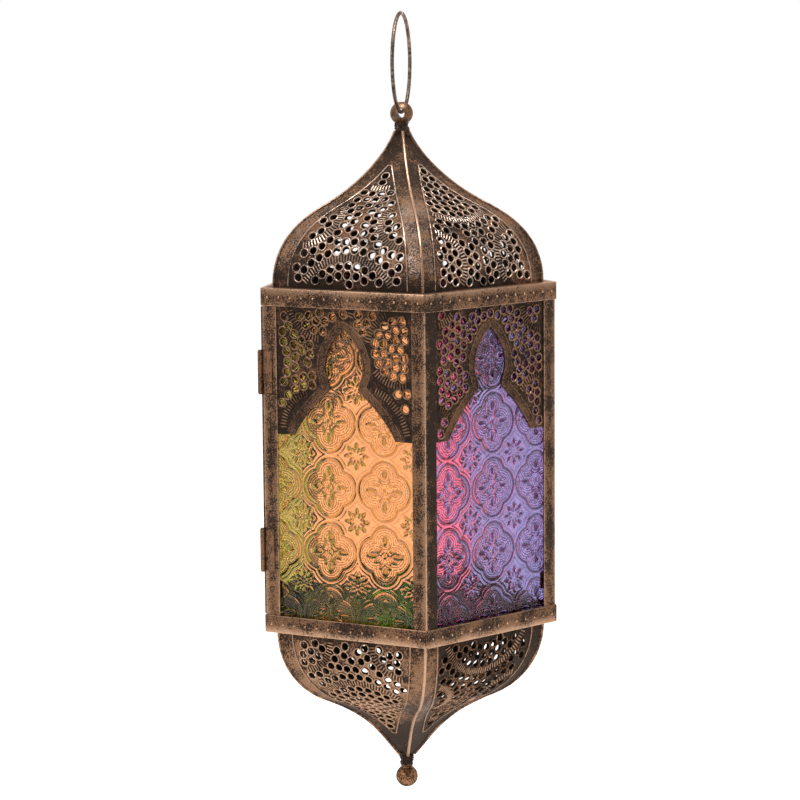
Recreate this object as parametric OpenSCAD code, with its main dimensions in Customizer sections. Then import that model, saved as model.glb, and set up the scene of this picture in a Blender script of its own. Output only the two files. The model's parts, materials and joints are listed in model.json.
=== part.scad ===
/* [Body] */
// Radius from the axis to the outer corner of a band
band_r = 75; // [68:0.5:90]
// Height of each band
band_h = 8.5; // [6:0.5:14]
// Sheet thickness of the bands
band_wall = 0.8; // [0.6:0.1:1.2]
// Corner radius of a band
band_corner_r = 1.5; // [0.8:0.1:3]
// Clear height between the two bands
clear_h = 148.8; // [130:0.2:200]
// Width of each leg of a corner post
post_leg = 7.3; // [6.5:0.1:9]
// Sheet thickness of a corner post
post_wall = 1.0; // [0.8:0.1:1.4]

/* [Domes] */
// Width of the band flange that shows beside the foot of a dome
ledge_w = 5.7; // [4:0.1:8]
// Height of the top dome
top_dome_h = 72; // [55:1:100]
// Height of the bottom dome
bottom_dome_h = 69; // [55:1:100]
// Sheet thickness of the petals
petal_wall = 0.9; // [0.7:0.1:1.2]
// Width of the rib over each seam
rib_w = 1.4; // [1:0.1:2]
// Height of the rib above the petals
rib_proud = 0.6; // [0.3:0.1:1.2]
// Plain margin beside each seam, along the width of the petal
petal_margin = 9.2; // [7:0.2:14]

/* [Piercing] */
// Distance across a pierced hole
hole_d = 3.4; // [2.5:0.1:3.6]
// Least metal left between two holes
hole_web = 0.8; // [0.6:0.1:2]
// Distance between neighbouring holes in a row
hole_pitch = 5.3; // [4.8:0.1:8]
// Distance between neighbouring rows
row_pitch = 4.7; // [4.5:0.1:7]
// Width of the unpierced ring that carries the ladder ribs
ladder_w = 4.3; // [3:0.1:5]

/* [Windows] */
// Height of the pierced arch panels below the top band
arch_h = 61; // [56:0.5:80]
// Sheet thickness of the arch panels
arch_wall = 0.6; // [0.5:0.1:0.8]
// Width of the arch opening at its foot
arch_foot_w = 54; // [46:0.5:60]
// Width of the onion lobe of the arch opening
arch_lobe_w = 20; // [16:0.5:26]
// Width of the neck under the lobe
arch_neck_w = 15; // [11:0.5:18]
// Height of the arch opening
arch_open_h = 51; // [40:0.5:54]
// Plain border round the arch opening
arch_border = 4.7; // [3:0.1:7]
// Thickness of the pressed glass
glass_t = 2.8; // [2:0.1:3.2]
// How far the glass reaches behind each post leg
glass_lap = 2.6; // [1.5:0.1:3]

/* [Balls and ring] */
// Diameter of the top ball
top_ball_d = 11; // [9:0.2:14]
// Diameter of the bottom ball
bottom_ball_d = 10.8; // [8:0.2:14]
// Diameter of the stem between a dome and its ball
stem_d = 5.8; // [4.5:0.1:6]
// Distance from the centre of the top ball to the tip of the dome
top_neck = 8.4; // [7.5:0.1:14]
// Distance from the tip of the bottom dome to the centre of its ball
bottom_neck = 11.1; // [8:0.1:16]
// Diameter of the hole through the top ball
eye_d = 4.6; // [4.4:0.1:5.4]
// Mean diameter of the hanging ring
ring_d = 47.2; // [40:0.2:64]
// Wire diameter of the hanging ring
ring_wire = 1.8; // [1.4:0.1:1.9]
// Angle of the ring that its soldered joint covers
solder_angle = 8; // [6:1:20]

/* [Candle] */
// Inner diameter of the tealight cup
cup_d = 39.6; // [39:0.1:46]
// Height of the tealight cup
cup_h = 11; // [8:0.5:16]
// Sheet thickness of the cup and of the plate that carries it
tray_wall = 0.8; // [0.6:0.1:1.2]

/* [Door] */
// Thickness of the door sheet
door_wall = 0.7; // [0.5:0.1:0.8]
// Gap between the door and the bands, top and bottom
door_gap = 0.5; // [0.3:0.1:1]
// Width of the door border at the top and bottom
door_border = 7; // [6:0.5:10]
// Width of the turn tab
tab_w = 3.6; // [3:0.1:4]
// Length of the turn tab
tab_l = 11; // [9:0.5:16]
// Height of each hinge
hinge_h = 20; // [16:0.5:28]
// Distance from a band to the nearer edge of a hinge
hinge_inset = 21.6; // [18:0.2:34]
// Diameter of the hinge knuckles
knuckle_d = 2.3; // [2.1:0.1:2.6]
// Diameter of the hinge pins
hinge_pin_d = 1.1; // [0.9:0.1:1.3]
// Width of a hinge leaf from the pin
leaf_w = 6; // [5.5:0.1:6.6]
// Diameter of the rivet heads
rivet_d = 2.2; // [1.8:0.1:2.6]

/* [Hidden] */
// Colours: aged copper, worn copper, dark patina and solder
bronze = [0.42, 0.26, 0.16];
bronze_light = [0.62, 0.42, 0.28];
bronze_dark = [0.20, 0.14, 0.11];
solder_grey = [0.72, 0.70, 0.66];
yellow = [0.97, 0.86, 0.45, 0.5];
violet = [0.84, 0.50, 0.72, 0.5];
blue = [0.42, 0.74, 0.90, 0.5];
coral = [0.95, 0.52, 0.50, 0.5];
green = [0.58, 0.62, 0.26, 0.5];

// Five sides: face 0 is the door, and each further face turns by one step
sides = 5;
door_side = 180;
step = 360 / sides;
half = step / 2;
fine = 48;

// Small fits
cut = 2;             // overrun of every cut
lift = 0.1;          // gap between flat faces that slide past each other
pin_gap = 0.05;      // radial gap round a pin
eye_gap = 0.3;       // gap round the wire at the mouths of its hole
swing_gap = 0.33;    // gap round the turning knuckles
edge_gap = 0.15;     // gap round the edge of a pane
free_gap = 0.9;      // gap between the door pane and the post legs
end_gap = 0.2;       // gap between knuckles along a pin

// Distances from the axis to each layer of a side
band_a = band_r * cos(half);
post_a = band_a - band_wall;
leg_in_a = post_a - post_wall;
arch_in_a = leg_in_a - arch_wall;
glass_in_a = arch_in_a - glass_t;
dome_r = band_r - ledge_w / cos(half);
flange_w = ledge_w + 1.25 * petal_wall;

// Half widths along a side
post_half = post_a * tan(half);
view_half = post_half - post_leg;
glass_half = view_half + glass_lap;

// Heights below the hanging point
ring_r = ring_d / 2;
wire_r = ring_wire / 2;
ring_z = wire_r - ring_r;
swing_z = ring_z - ring_r;
eye_r = eye_d / 2;
top_ball_r = top_ball_d / 2;
bottom_ball_r = bottom_ball_d / 2;
eye_half = sqrt(top_ball_r * top_ball_r - eye_r * eye_r);
wire_rise = ring_r - sqrt(ring_r * ring_r - eye_half * eye_half);
top_ball_z = swing_z - (eye_r - wire_r - wire_rise - eye_gap);
top_tip_z = top_ball_z - top_neck;
top_z = top_tip_z - top_dome_h;
head_z = top_z - band_h;
sill_z = head_z - clear_h;
bottom_z = sill_z - band_h;
bottom_tip_z = bottom_z - bottom_dome_h;
bottom_ball_z = bottom_tip_z - bottom_neck;
plate_z = bottom_z + band_wall;
floor_z = plate_z + tray_wall;
under_z = top_z - band_wall;
arch_foot_z = head_z - arch_h;

// Door layers, edges and hinge line
door_in_a = post_a + lift;
door_out_a = door_in_a + door_wall;
door_low_z = sill_z + door_gap;
door_high_z = head_z - door_gap;
door_glass_half = view_half - free_gap;
door_lap = 2;
door_view_half = door_glass_half - door_lap;
knuckle_r = knuckle_d / 2;
pin_r = hinge_pin_d / 2;
leaf_t = 0.5;
hinge_r = post_a / cos(half) + knuckle_r + swing_gap;
hinge_a = hinge_r * cos(half);
hinge_u = hinge_r * sin(half);
door_hinge_edge = hinge_u - knuckle_r - swing_gap / 2;
latch_u = post_half - tab_w / 2 - 0.15 * tab_w;
door_latch_edge = latch_u - tab_w / 2 - 0.5;
latch_z = (head_z + sill_z) / 2;
tab_t = 0.7;
tab_a = door_out_a + lift;
hinge_zs = [head_z - hinge_inset - hinge_h / 2, sill_z + hinge_inset + hinge_h / 2];
rivet_rise = 0.3 * hinge_h;
rivet_u = 0.62 * leaf_w;
shank_r = 0.28 * rivet_d;
head_h = 0.22 * rivet_d;

// Clips: sheet, height, reach over the glass and foot
clip_t = 0.45;
clip_w = 8;
clip_reach = 2.3;
clip_foot = 2.2;
clip_zs = [head_z - 1.5 * clip_w, sill_z + 1.5 * clip_w];

// Ogee ridge of a dome: out from the axis and up from the foot, as shares of radius and height
top_belly_shares = [[1, 0], [1, 0.29], [0.795, 0.43], [0.6, 0.522]];
top_tip_shares = [[0.6, 0.522], [0.365, 0.632], [0.141, 0.812], [0.052, 1]];
bottom_belly_shares = [[1, 0], [1, 0.285], [0.807, 0.459], [0.651, 0.525]];
bottom_tip_shares = [[0.651, 0.525], [0.28, 0.683], [0.22, 0.811], [0.058, 1]];
curve_steps = 9;

// Pierced pattern: small and large ladder rings on a lattice, sized from one repeat
repeat_w = 56;
repeat_h = 100;
small_ring_r = 0.3 * repeat_w;
large_ring_r = 0.5 * repeat_w;
// Height of a row of small rings on each petal, as a share of the repeat
top_shift_shares = [0.2, 0.37, 0.125, 0.3, 0.05];
bottom_shift_shares = [0.3, 0.02, 0.41, 0.12, 0.22];
// Ring centres on each arch panel, across and down, and ring radius, as shares of the panel height
arch_ring_shares = [
    [[0.6, -0.1, 0.28], [-0.62, 0, 0.28], [0.66, 0.95, 0.28], [-0.6, 0.86, 0.28]],
    [[-0.2, -0.04, 0.28], [0.49, 0.29, 0.28], [-0.26, 0.94, 0.28], [-0.84, 0.43, 0.28], [0.1, 1.04, 0.46]],
    [[-0.62, -0.16, 0.28], [-0.66, 1, 0.28], [0.62, -0.04, 0.28], [0.56, 0.86, 0.28]],
    [[0.2, -0.04, 0.28], [-0.49, 0.29, 0.28], [0.26, 0.94, 0.28], [0.84, 0.43, 0.28], [-0.1, 1.04, 0.46]],
    [[-0.45, -0.1, 0.28], [-0.7, 0.9, 0.28], [0.3, -0.1, 0.28], [0.72, 0.5, 0.28]]
];

// Points, directions and lengths along a curve
function bezier(p, t) = pow(1 - t, 3) * p[0] + 3 * pow(1 - t, 2) * t * p[1]
    + 3 * (1 - t) * t * t * p[2] + t * t * t * p[3];
function slope(p, t) = pow(1 - t, 2) * (p[1] - p[0]) + 2 * (1 - t) * t * (p[2] - p[1]) + t * t * (p[3] - p[2]);
function unit(v) = v / norm(v);
function sized(p, a, b) = [for (q = p) [q[0] * a, q[1] * b]];
function station(p, t) = let (d = unit(slope(p, t))) [bezier(p, t), [d[1], -d[0]]];
function ogee(belly, tip) = [
    for (k = [0 : curve_steps]) station(belly, k / curve_steps),
    for (k = [1 : curve_steps]) station(tip, k / curve_steps)
];
function top_ogee(r) = ogee(sized(top_belly_shares, r, top_dome_h), sized(top_tip_shares, r, top_dome_h));
function bottom_ogee(r) =
    ogee(sized(bottom_belly_shares, r, bottom_dome_h), sized(bottom_tip_shares, r, bottom_dome_h));
function lengths(c, k = 0, sum = 0) = k == len(c) ? []
    : let (s = sum + (k == 0 ? 0 : norm(c[k][0] - c[k - 1][0]))) concat([s], lengths(c, k + 1, s));
function table(c, s, part, axis) = [for (k = [0 : len(c) - 1]) [s[k], c[k][part][axis]]];
function backwards(v) = [for (k = [len(v) - 1 : -1 : 0]) v[k]];
function thick(c, low, high) = concat([for (p = c) p[0] + p[1] * high],
    backwards([for (p = c) p[0] + p[1] * low]));

// Holes stand in rows round ladder rings, and each ring, [across, up, radius], claims what is nearest to it
function ring_gap(p, ring) = norm([p[0] - ring[0], p[1] - ring[1]]) - ring[2];
function claimed(p, rings, k) = min([for (j = [0 : len(rings) - 1])
    j == k ? hole_d + hole_web : ring_gap(p, rings[j]) - ring_gap(p, rings[k])]) >= hole_d + hole_web;
function rows(ring, reach) = [
    for (side = [-1, 1], j = [0 : floor(reach / row_pitch)])
        let (r = ring[2] + side * ((ladder_w + hole_d) / 2 + lift + j * row_pitch))
        if (r > hole_pitch / 2) [r, j]
];
function row_holes(ring, row) = let (n = max(3, round(2 * PI * row[0] / hole_pitch))) [
    for (i = [0 : n - 1]) let (a = (i + (row[1] % 2) / 2) * 360 / n)
        [ring[0] + row[0] * cos(a), ring[1] + row[0] * sin(a)]
];
function pierced(rings, reach) = [
    for (k = [0 : len(rings) - 1], row = rows(rings[k], reach), p = row_holes(rings[k], row))
        if (claimed(p, rings, k)) p
];
function lattice(shift) = [
    for (m = [-1 : 1], n = [-1 : 1]) [m * repeat_w, (shift + 0.5 + n) * repeat_h, large_ring_r],
    for (m = [-1, 1], n = [-1 : 1]) [m * repeat_w / 2, (shift + n) * repeat_h, small_ring_r]
];

// Plan of all sides at one distance from the axis, with sharp or rounded corners
function sharp_plan(a) = [for (k = [0 : sides - 1]) let (turn = door_side + half + k * step)
    [a / cos(half) * cos(turn), a / cos(half) * sin(turn)]];
function round_plan(a, r) = [
    for (k = [0 : sides - 1], j = [-3 : 3])
        let (mid = door_side + half + k * step, turn = mid + j * half / 3, c = (a - r) / cos(half))
        [c * cos(mid) + r * cos(turn), c * sin(mid) + r * sin(turn)]
];

// Right half of the arch opening from its foot to its tip, across and up
foot_half = arch_foot_w / 2;
lobe_half = arch_lobe_w / 2;
neck_half = arch_neck_w / 2;
neck_h = 0.44 * arch_open_h;
lobe_h = 0.65 * arch_open_h;
arch_side = [
    for (k = [0 : curve_steps]) bezier([[foot_half, 0], [0.91 * foot_half, 0.12 * arch_open_h],
        [2 * neck_half, 0.33 * arch_open_h], [neck_half, neck_h]], k / curve_steps),
    for (k = [1 : curve_steps]) bezier([[neck_half, neck_h], [neck_half, 0.53 * arch_open_h],
        [lobe_half, 0.57 * arch_open_h], [lobe_half, lobe_h]], k / curve_steps),
    for (k = [1 : curve_steps]) bezier([[lobe_half, lobe_h], [lobe_half, 0.8 * arch_open_h],
        [0.5 * lobe_half, 0.93 * arch_open_h], [0, arch_open_h]], k / curve_steps)
];
arch_widths = [for (p = arch_side) [p[1], p[0]]];
function outside_arch(p) = let (keep = arch_border + hole_d / 2)
    abs(p[0]) > lookup(p[1], arch_widths)
    && min([for (q = arch_side) norm([abs(p[0]) - q[0], p[1] - q[1]])]) > keep;

module face(k) { rotate([0, 0, door_side + k * step]) children(); }
module corner(k) { rotate([0, 0, door_side + half + k * step]) children(); }
// A block on a side: out from a0 to a1, across from u0 to u1, up from z0 to z1
module block(a0, a1, u0, u1, z0, z1) { translate([a0, u0, z0]) cube([a1 - a0, u1 - u0, z1 - z0]); }
// A sheet on a side, its outline drawn across and up
module sheet(a0, a1) { translate([a0, 0, 0]) rotate([90, 0, 90]) linear_extrude(a1 - a0) children(); }
// A round rod standing out from a side
module rod(r, a0, a1, u, z) {
    translate([a0, u, z]) rotate([0, 90, 0]) cylinder(h = a1 - a0, r = r, $fn = fine);
}

// The wire ring stands in the plane across the door, split at its top
module ring_arc(from, angle, r) {
    translate([0, 0, ring_z]) rotate([0, -90, 0]) rotate([0, 0, from])
        rotate_extrude(angle = angle, $fn = 96) translate([ring_r, 0]) circle(r = r, $fn = 24);
}
module hanging_ring() { color(bronze_light) ring_arc(solder_angle / 2, 360 - solder_angle, wire_r); }
module ring_solder() { color(solder_grey) ring_arc(-solder_angle / 2, solder_angle, 1.2 * wire_r); }

// A ball on a stem whose narrow end is pushed into the tip of a dome
module ball(r, neck, tip_r) {
    spigot_r = tip_r * cos(half) - 1.15 * petal_wall - edge_gap;
    sphere(r = r, $fn = fine);
    translate([0, 0, -neck]) cylinder(h = neck - 0.4 * r, r = stem_d / 2, $fn = fine);
    translate([0, 0, -neck - 1.5 * stem_d]) cylinder(h = 1.5 * stem_d + neck / 2, r = spigot_r, $fn = fine);
}
module top_ball() {
    color(bronze) translate([0, 0, top_ball_z]) difference() {
        ball(top_ball_r, top_neck, dome_r * top_tip_shares[3][0]);
        rotate([90, 0, 0]) cylinder(h = 2 * top_ball_d, r = eye_r, center = true, $fn = fine);
    }
}
module bottom_ball() {
    color(bronze) translate([0, 0, bottom_ball_z]) mirror([0, 0, 1])
        ball(bottom_ball_r, bottom_neck, dome_r * bottom_tip_shares[3][0]);
}

// One petal: a bent sheet between two seams, pierced square to its surface
module petal(c, h, shift) {
    s = lengths(c);
    out_a = table(c, s, 0, 0);
    up = table(c, s, 0, 1);
    lean = table(c, s, 1, 1);
    reach_a = c[0][0][0];
    side_cut = rib_w / 2 / cos(half);
    top_s = s[len(s) - 1];
    holes = [for (p = pierced(lattice(shift), repeat_w))
        if (p[1] > 0.7 * hole_d && p[1] < top_s
            && abs(p[0]) < lookup(p[1], out_a) * tan(half) - petal_margin - hole_d / 2) p];
    difference() {
        intersection() {
            translate([0, reach_a, 0]) rotate([90, 0, 0]) linear_extrude(2 * reach_a)
                polygon(thick(c, -petal_wall, 0));
            translate([0, 0, -cut]) linear_extrude(h + 2 * cut) polygon([
                [side_cut / tan(half), 0],
                [reach_a + cut, (reach_a + cut) * tan(half) - side_cut],
                [reach_a + cut, side_cut - (reach_a + cut) * tan(half)]
            ]);
        }
        for (p = holes)
            translate([lookup(p[1], out_a), p[0], lookup(p[1], up)])
                rotate([0, 90 - asin(lookup(p[1], lean)), 0])
                    translate([0, 0, -2 * petal_wall]) cylinder(h = 3 * petal_wall, r = hole_d / 2, $fn = 6);
    }
}
module top_petal(k) {
    color(bronze) face(k) translate([0, 0, top_z])
        petal(top_ogee(dome_r * cos(half)), top_dome_h, top_shift_shares[k]);
}
module bottom_petal(k) {
    color(bronze) face(k) translate([0, 0, bottom_z]) mirror([0, 0, 1])
        petal_under(k);
}
module petal_under(k) { petal(bottom_ogee_sided(), bottom_dome_h, bottom_shift_shares[k]); }
function bottom_ogee_sided() = bottom_ogee(dome_r * cos(half));

// The ribs fill the seams between petals and stand a little proud
module ribs(c) {
    for (k = [0 : sides - 1]) corner(k)
        translate([0, rib_w / 2, 0]) rotate([90, 0, 0]) linear_extrude(rib_w)
            polygon(thick(c, -petal_wall, rib_proud));
}
module top_ridge_ribs() { color(bronze_light) translate([0, 0, top_z]) ribs(top_ogee(dome_r)); }
module bottom_ridge_ribs() {
    color(bronze_light) translate([0, 0, bottom_z]) mirror([0, 0, 1]) ribs(bottom_ogee(dome_r));
}

// A band: an upright strip with a flange turned in at one edge
module band(z, flange_z) {
    color(bronze) {
        translate([0, 0, z]) linear_extrude(band_h) difference() {
            polygon(round_plan(band_a, band_corner_r));
            polygon(sharp_plan(band_a - band_wall));
        }
        translate([0, 0, flange_z]) linear_extrude(band_wall) difference() {
            polygon(round_plan(band_a, band_corner_r));
            polygon(sharp_plan(band_a - flange_w));
        }
    }
}
module top_band() { band(head_z, under_z); }
module bottom_band() { band(bottom_z, bottom_z); }

// A corner post: an angle strip with its legs behind two sides
module post(k) {
    tip = [post_a / cos(half), 0];
    along_leg = [-sin(half), cos(half)];
    out = [cos(half), sin(half)];
    leg_end = tip + post_leg * along_leg;
    leg_back = leg_end - post_wall * out;
    color(bronze) corner(k) translate([0, 0, plate_z]) linear_extrude(under_z - plate_z) polygon([
        tip, leg_end, leg_back, [leg_in_a / cos(half), 0], [leg_back[0], -leg_back[1]], [leg_end[0], -leg_end[1]]
    ]);
}
module post_hinge() {
    difference() {
        post(0);
        face(1) for (z = hinge_zs, rise = [-rivet_rise, rivet_rise])
            rod(shank_r + pin_gap, leg_in_a - cut, post_a + cut, rivet_u - hinge_u, z + rise);
    }
}
module post_latch() {
    difference() {
        post(4);
        face(0) rod(0.22 * tab_w + pin_gap, leg_in_a - cut, post_a + cut, -latch_u, latch_z);
    }
}

// A fixed pane stands on the candle plate behind the post legs
module pane(k, tint) {
    color(tint) face(k) block(glass_in_a, arch_in_a, -glass_half, glass_half, floor_z, under_z - edge_gap);
}

// A pierced panel over the top of a pane, with an onion arch cut out of its foot
module arch_outline(k, width_half, field_half, low_z, high_z) {
    rings = [for (r = arch_ring_shares[k]) [r[0] * arch_h, (1 - r[1]) * arch_h, r[2] * arch_h]];
    difference() {
        translate([-width_half, low_z]) square([2 * width_half, high_z - low_z]);
        translate([0, low_z]) {
            polygon(concat([[foot_half, -cut]], arch_side, [for (p = backwards(arch_side)) [-p[0], p[1]]],
                [[-foot_half, -cut]]));
            for (p = pierced(rings, arch_h))
                if (abs(p[0]) < field_half - 0.65 * hole_d && p[1] > 0.7 * hole_d
                    && p[1] < arch_h - 0.55 * hole_d && outside_arch(p))
                    translate(p) circle(r = hole_d / 2, $fn = 6);
        }
    }
}
module arch_panel(k) {
    color(bronze) face(k) sheet(arch_in_a, leg_in_a)
        arch_outline(k, glass_half, view_half, arch_foot_z, under_z - edge_gap);
}

// Bent clips hold the panes and panels against the posts
module clip_profile(back, front, edge) {
    polygon([
        [front, edge + clip_t + clip_foot], [front - clip_t, edge + clip_t + clip_foot],
        [front - clip_t, edge + clip_t], [back - clip_t, edge + clip_t], [back - clip_t, edge - clip_reach],
        [back, edge - clip_reach], [back, edge], [front, edge]
    ]);
}
module glass_clips() {
    color(bronze_dark) for (k = [1 : sides - 1], side = [0, 1], z = clip_zs)
        face(k) mirror([0, side, 0]) translate([0, 0, z - clip_w / 2]) linear_extrude(clip_w)
            clip_profile(glass_in_a, leg_in_a, glass_half + edge_gap);
}

// The plate rests on the flange of the bottom band and carries the cup
module candle_plate() {
    color(bronze_dark) translate([0, 0, plate_z]) linear_extrude(tray_wall) polygon(sharp_plan(leg_in_a - lift));
}
module candle_cup() {
    color(bronze_dark) translate([0, 0, floor_z]) difference() {
        cylinder(h = cup_h, r = cup_d / 2 + tray_wall, $fn = 96);
        translate([0, 0, tray_wall]) cylinder(h = cup_h, r = cup_d / 2, $fn = 96);
    }
}

// Door: sheet frame, panel, pane and clips, drawn closed
module door_frame() {
    color(bronze) face(0) difference() {
        block(door_in_a, door_out_a, -door_latch_edge, door_hinge_edge, door_low_z, door_high_z);
        block(door_in_a - cut, door_out_a + cut, -door_view_half, door_view_half,
            door_low_z + door_border, door_high_z - door_border);
        for (z = hinge_zs, rise = [-rivet_rise, rivet_rise])
            rod(shank_r + pin_gap, door_in_a - cut, door_out_a + cut, hinge_u - rivet_u, z + rise);
    }
}
door_glass_low = door_low_z + door_border - door_lap;
door_glass_high = door_high_z - door_border + door_lap;
door_arch_in_a = door_in_a - arch_wall;
door_glass_in_a = door_arch_in_a - glass_t;
module door_arch() {
    color(bronze) face(0) sheet(door_arch_in_a, door_in_a)
        arch_outline(0, door_glass_half, door_view_half, arch_foot_z, door_glass_high);
}
module door_glass() {
    color(green) face(0)
        block(door_glass_in_a, door_arch_in_a, -door_glass_half, door_glass_half, door_glass_low, door_glass_high);
}
module door_clips() {
    mid = (door_glass_high + door_glass_low) / 2;
    color(bronze_dark) face(0) for (side = [0, 1], u = [-door_glass_half / 2, door_glass_half / 2])
        translate([0, u + clip_w / 2, mid]) mirror([0, 0, side]) rotate([90, 0, 0]) linear_extrude(clip_w)
            clip_profile(door_glass_in_a, door_in_a, door_glass_high - mid + edge_gap);
}

// Butt hinges: the post leaf has the middle knuckle, the door leaf the two outer ones
middle_h = 0.4 * hinge_h;
outer_h = (hinge_h - middle_h) / 2 - end_gap;
module knuckle(u, z0, h) {
    translate([hinge_a, u, z0]) difference() {
        cylinder(h = h, r = knuckle_r, $fn = fine);
        translate([0, 0, -cut]) cylinder(h = h + 2 * cut, r = pin_r + pin_gap, $fn = fine);
    }
}
module leaf(a0, u_pin, side, wide_h, joint_zs) {
    plate_from = knuckle_r + swing_gap;
    tail = knuckle_r - 0.35;
    difference() {
        union() {
            for (z = hinge_zs) {
                translate([a0, min(u_pin + side * plate_from, u_pin + side * leaf_w), z - hinge_h / 2])
                    cube([leaf_t, leaf_w - plate_from, hinge_h]);
                for (j = joint_zs)
                    translate([a0, min(u_pin + side * tail, u_pin + side * (plate_from + leaf_t)), z + j[0]])
                        cube([leaf_t, plate_from + leaf_t - tail, j[1]]);
            }
        }
        for (z = hinge_zs, rise = [-rivet_rise, rivet_rise])
            rod(shank_r + pin_gap, a0 - cut, a0 + leaf_t + cut, u_pin + side * rivet_u, z + rise);
    }
    for (z = hinge_zs, j = joint_zs) knuckle(u_pin, z + j[0], j[1]);
}
module hinge_post_leaves() {
    color(bronze_dark) face(1) leaf(post_a, -hinge_u, 1, hinge_h, [[-middle_h / 2, middle_h]]);
}
module hinge_door_leaves() {
    color(bronze_dark) face(0) leaf(door_out_a, hinge_u, -1, hinge_h,
        [[-hinge_h / 2, outer_h], [hinge_h / 2 - outer_h, outer_h]]);
}
module hinge_pins() {
    color(bronze_light) face(0) for (z = hinge_zs) {
        translate([hinge_a, hinge_u, z - hinge_h / 2 - lift]) cylinder(h = hinge_h + 2 * lift, r = pin_r, $fn = fine);
        for (end = [-1, 1]) translate([hinge_a, hinge_u, z + end * (hinge_h / 2 + lift + head_h / 2)])
            cylinder(h = head_h, r = 0.8 * knuckle_r, center = true, $fn = fine);
    }
}
// A low domed head over a shank
module rivet(a_back, a_head, u, z) {
    rod(shank_r, a_back, a_head, u, z);
    translate([a_head, u, z]) rotate([0, 90, 0]) difference() {
        scale_r = (rivet_d * rivet_d / 4 + head_h * head_h) / (2 * head_h);
        translate([0, 0, head_h - scale_r]) sphere(r = scale_r, $fn = fine);
        translate([0, 0, -scale_r]) cube(2 * scale_r, center = true);
    }
}
module hinge_post_rivets() {
    color(bronze_dark) face(1) for (z = hinge_zs, rise = [-rivet_rise, rivet_rise])
        rivet(leg_in_a, post_a + leaf_t, rivet_u - hinge_u, z + rise);
}
module hinge_door_rivets() {
    color(bronze_dark) face(0) for (z = hinge_zs, rise = [-rivet_rise, rivet_rise])
        rivet(door_in_a, door_out_a + leaf_t, hinge_u - rivet_u, z + rise);
}

// Turn tab on the bare strip of the latch post, drawn hanging free of the door
latch_shank_r = 0.22 * tab_w;
module latch_tab() {
    color(bronze_light) face(0) difference() {
        sheet(tab_a, tab_a + tab_t) translate([-latch_u, latch_z]) {
            circle(r = tab_w / 2, $fn = fine);
            translate([-tab_w / 2, tab_w - tab_l]) square([tab_w, tab_l - tab_w]);
            translate([0, tab_w - tab_l]) circle(r = tab_w / 2, $fn = fine);
        }
        rod(latch_shank_r + pin_gap, tab_a - cut, tab_a + tab_t + cut, -latch_u, latch_z);
    }
}
module latch_rivet() {
    color(bronze_dark) face(0) {
        rod(latch_shank_r, leg_in_a, tab_a + tab_t + lift, -latch_u, latch_z);
        rod(0.42 * tab_w, tab_a + tab_t + lift, tab_a + tab_t + lift + head_h, -latch_u, latch_z);
    }
}
module latch_washer() {
    color(bronze_light) face(0) difference() {
        rod(0.42 * tab_w, post_a, tab_a - lift / 2, -latch_u, latch_z);
        rod(latch_shank_r + pin_gap, post_a - cut, tab_a + cut, -latch_u, latch_z);
    }
}

hanging_ring();
ring_solder();
top_ball();
bottom_ball();
top_band();
bottom_band();
post_hinge();
post(1);  // post_near
post(2);  // post_right
post(3);  // post_rear
post_latch();
pane(1, yellow);  // glass_front
pane(2, violet);  // glass_right
pane(3, blue);  // glass_rear_right
pane(4, coral);  // glass_rear
arch_panel(1);  // arch_front
arch_panel(2);  // arch_right
arch_panel(3);  // arch_rear_right
arch_panel(4);  // arch_rear
glass_clips();
top_petal(0);  // top_petal_door
top_petal(1);  // top_petal_front
top_petal(2);  // top_petal_right
top_petal(3);  // top_petal_rear_right
top_petal(4);  // top_petal_rear
bottom_petal(0);  // bottom_petal_door
bottom_petal(1);  // bottom_petal_front
bottom_petal(2);  // bottom_petal_right
bottom_petal(3);  // bottom_petal_rear_right
bottom_petal(4);  // bottom_petal_rear
top_ridge_ribs();
bottom_ridge_ribs();
candle_plate();
candle_cup();
door_frame();
door_arch();
door_glass();
door_clips();
hinge_post_leaves();
hinge_door_leaves();
hinge_pins();
hinge_post_rivets();
hinge_door_rivets();
latch_tab();
latch_rivet();
latch_washer();
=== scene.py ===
"""Looks of a hanging five-sided fanous lantern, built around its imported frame.

Lengths in the classes are millimetres, and heights are counted from the hanging point, so they are
negative. MM turns both into metres.
"""
import json
import logging
import math
import random
from dataclasses import dataclass, field
from enum import Enum
from typing import Callable, Iterable, Sequence

import bpy
import bmesh
import numpy as np
from mathutils import Matrix, Vector
from mathutils.geometry import delaunay_2d_cdt


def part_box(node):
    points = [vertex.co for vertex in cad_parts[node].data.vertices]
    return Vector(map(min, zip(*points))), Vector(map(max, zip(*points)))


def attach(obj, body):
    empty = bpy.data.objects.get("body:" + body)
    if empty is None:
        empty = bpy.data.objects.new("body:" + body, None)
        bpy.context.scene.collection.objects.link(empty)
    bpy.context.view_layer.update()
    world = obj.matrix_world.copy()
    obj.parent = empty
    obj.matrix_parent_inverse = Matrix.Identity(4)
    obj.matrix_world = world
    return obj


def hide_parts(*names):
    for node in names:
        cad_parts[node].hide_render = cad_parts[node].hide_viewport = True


log = logging.getLogger("lantern")
MM = 0.001
Point = tuple[float, float]
Colour = tuple[float, float, float]
Place = Callable[[np.ndarray, np.ndarray, np.ndarray], np.ndarray]
Keep = Callable[[np.ndarray], np.ndarray]
Looks = dict[str, bpy.types.Material]


class Side(Enum):
    """The five sides, each with its number; the number turns it round the axis."""

    DOOR = 0
    FRONT = 1
    RIGHT = 2
    REAR_RIGHT = 3
    REAR = 4

    @property
    def key(self) -> str:
        """The side's name as the nodes write it."""
        return self.name.lower()

    @property
    def turn(self) -> float:
        """Angle of the side's outward normal, in radians."""
        return math.radians(180 + 72 * self.value)


class Wear(Enum):
    """How far a spot of metal is rubbed bright, as stored per vertex."""

    PIT = 0.0
    FIELD = 0.4
    SHEET = 0.42


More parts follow.
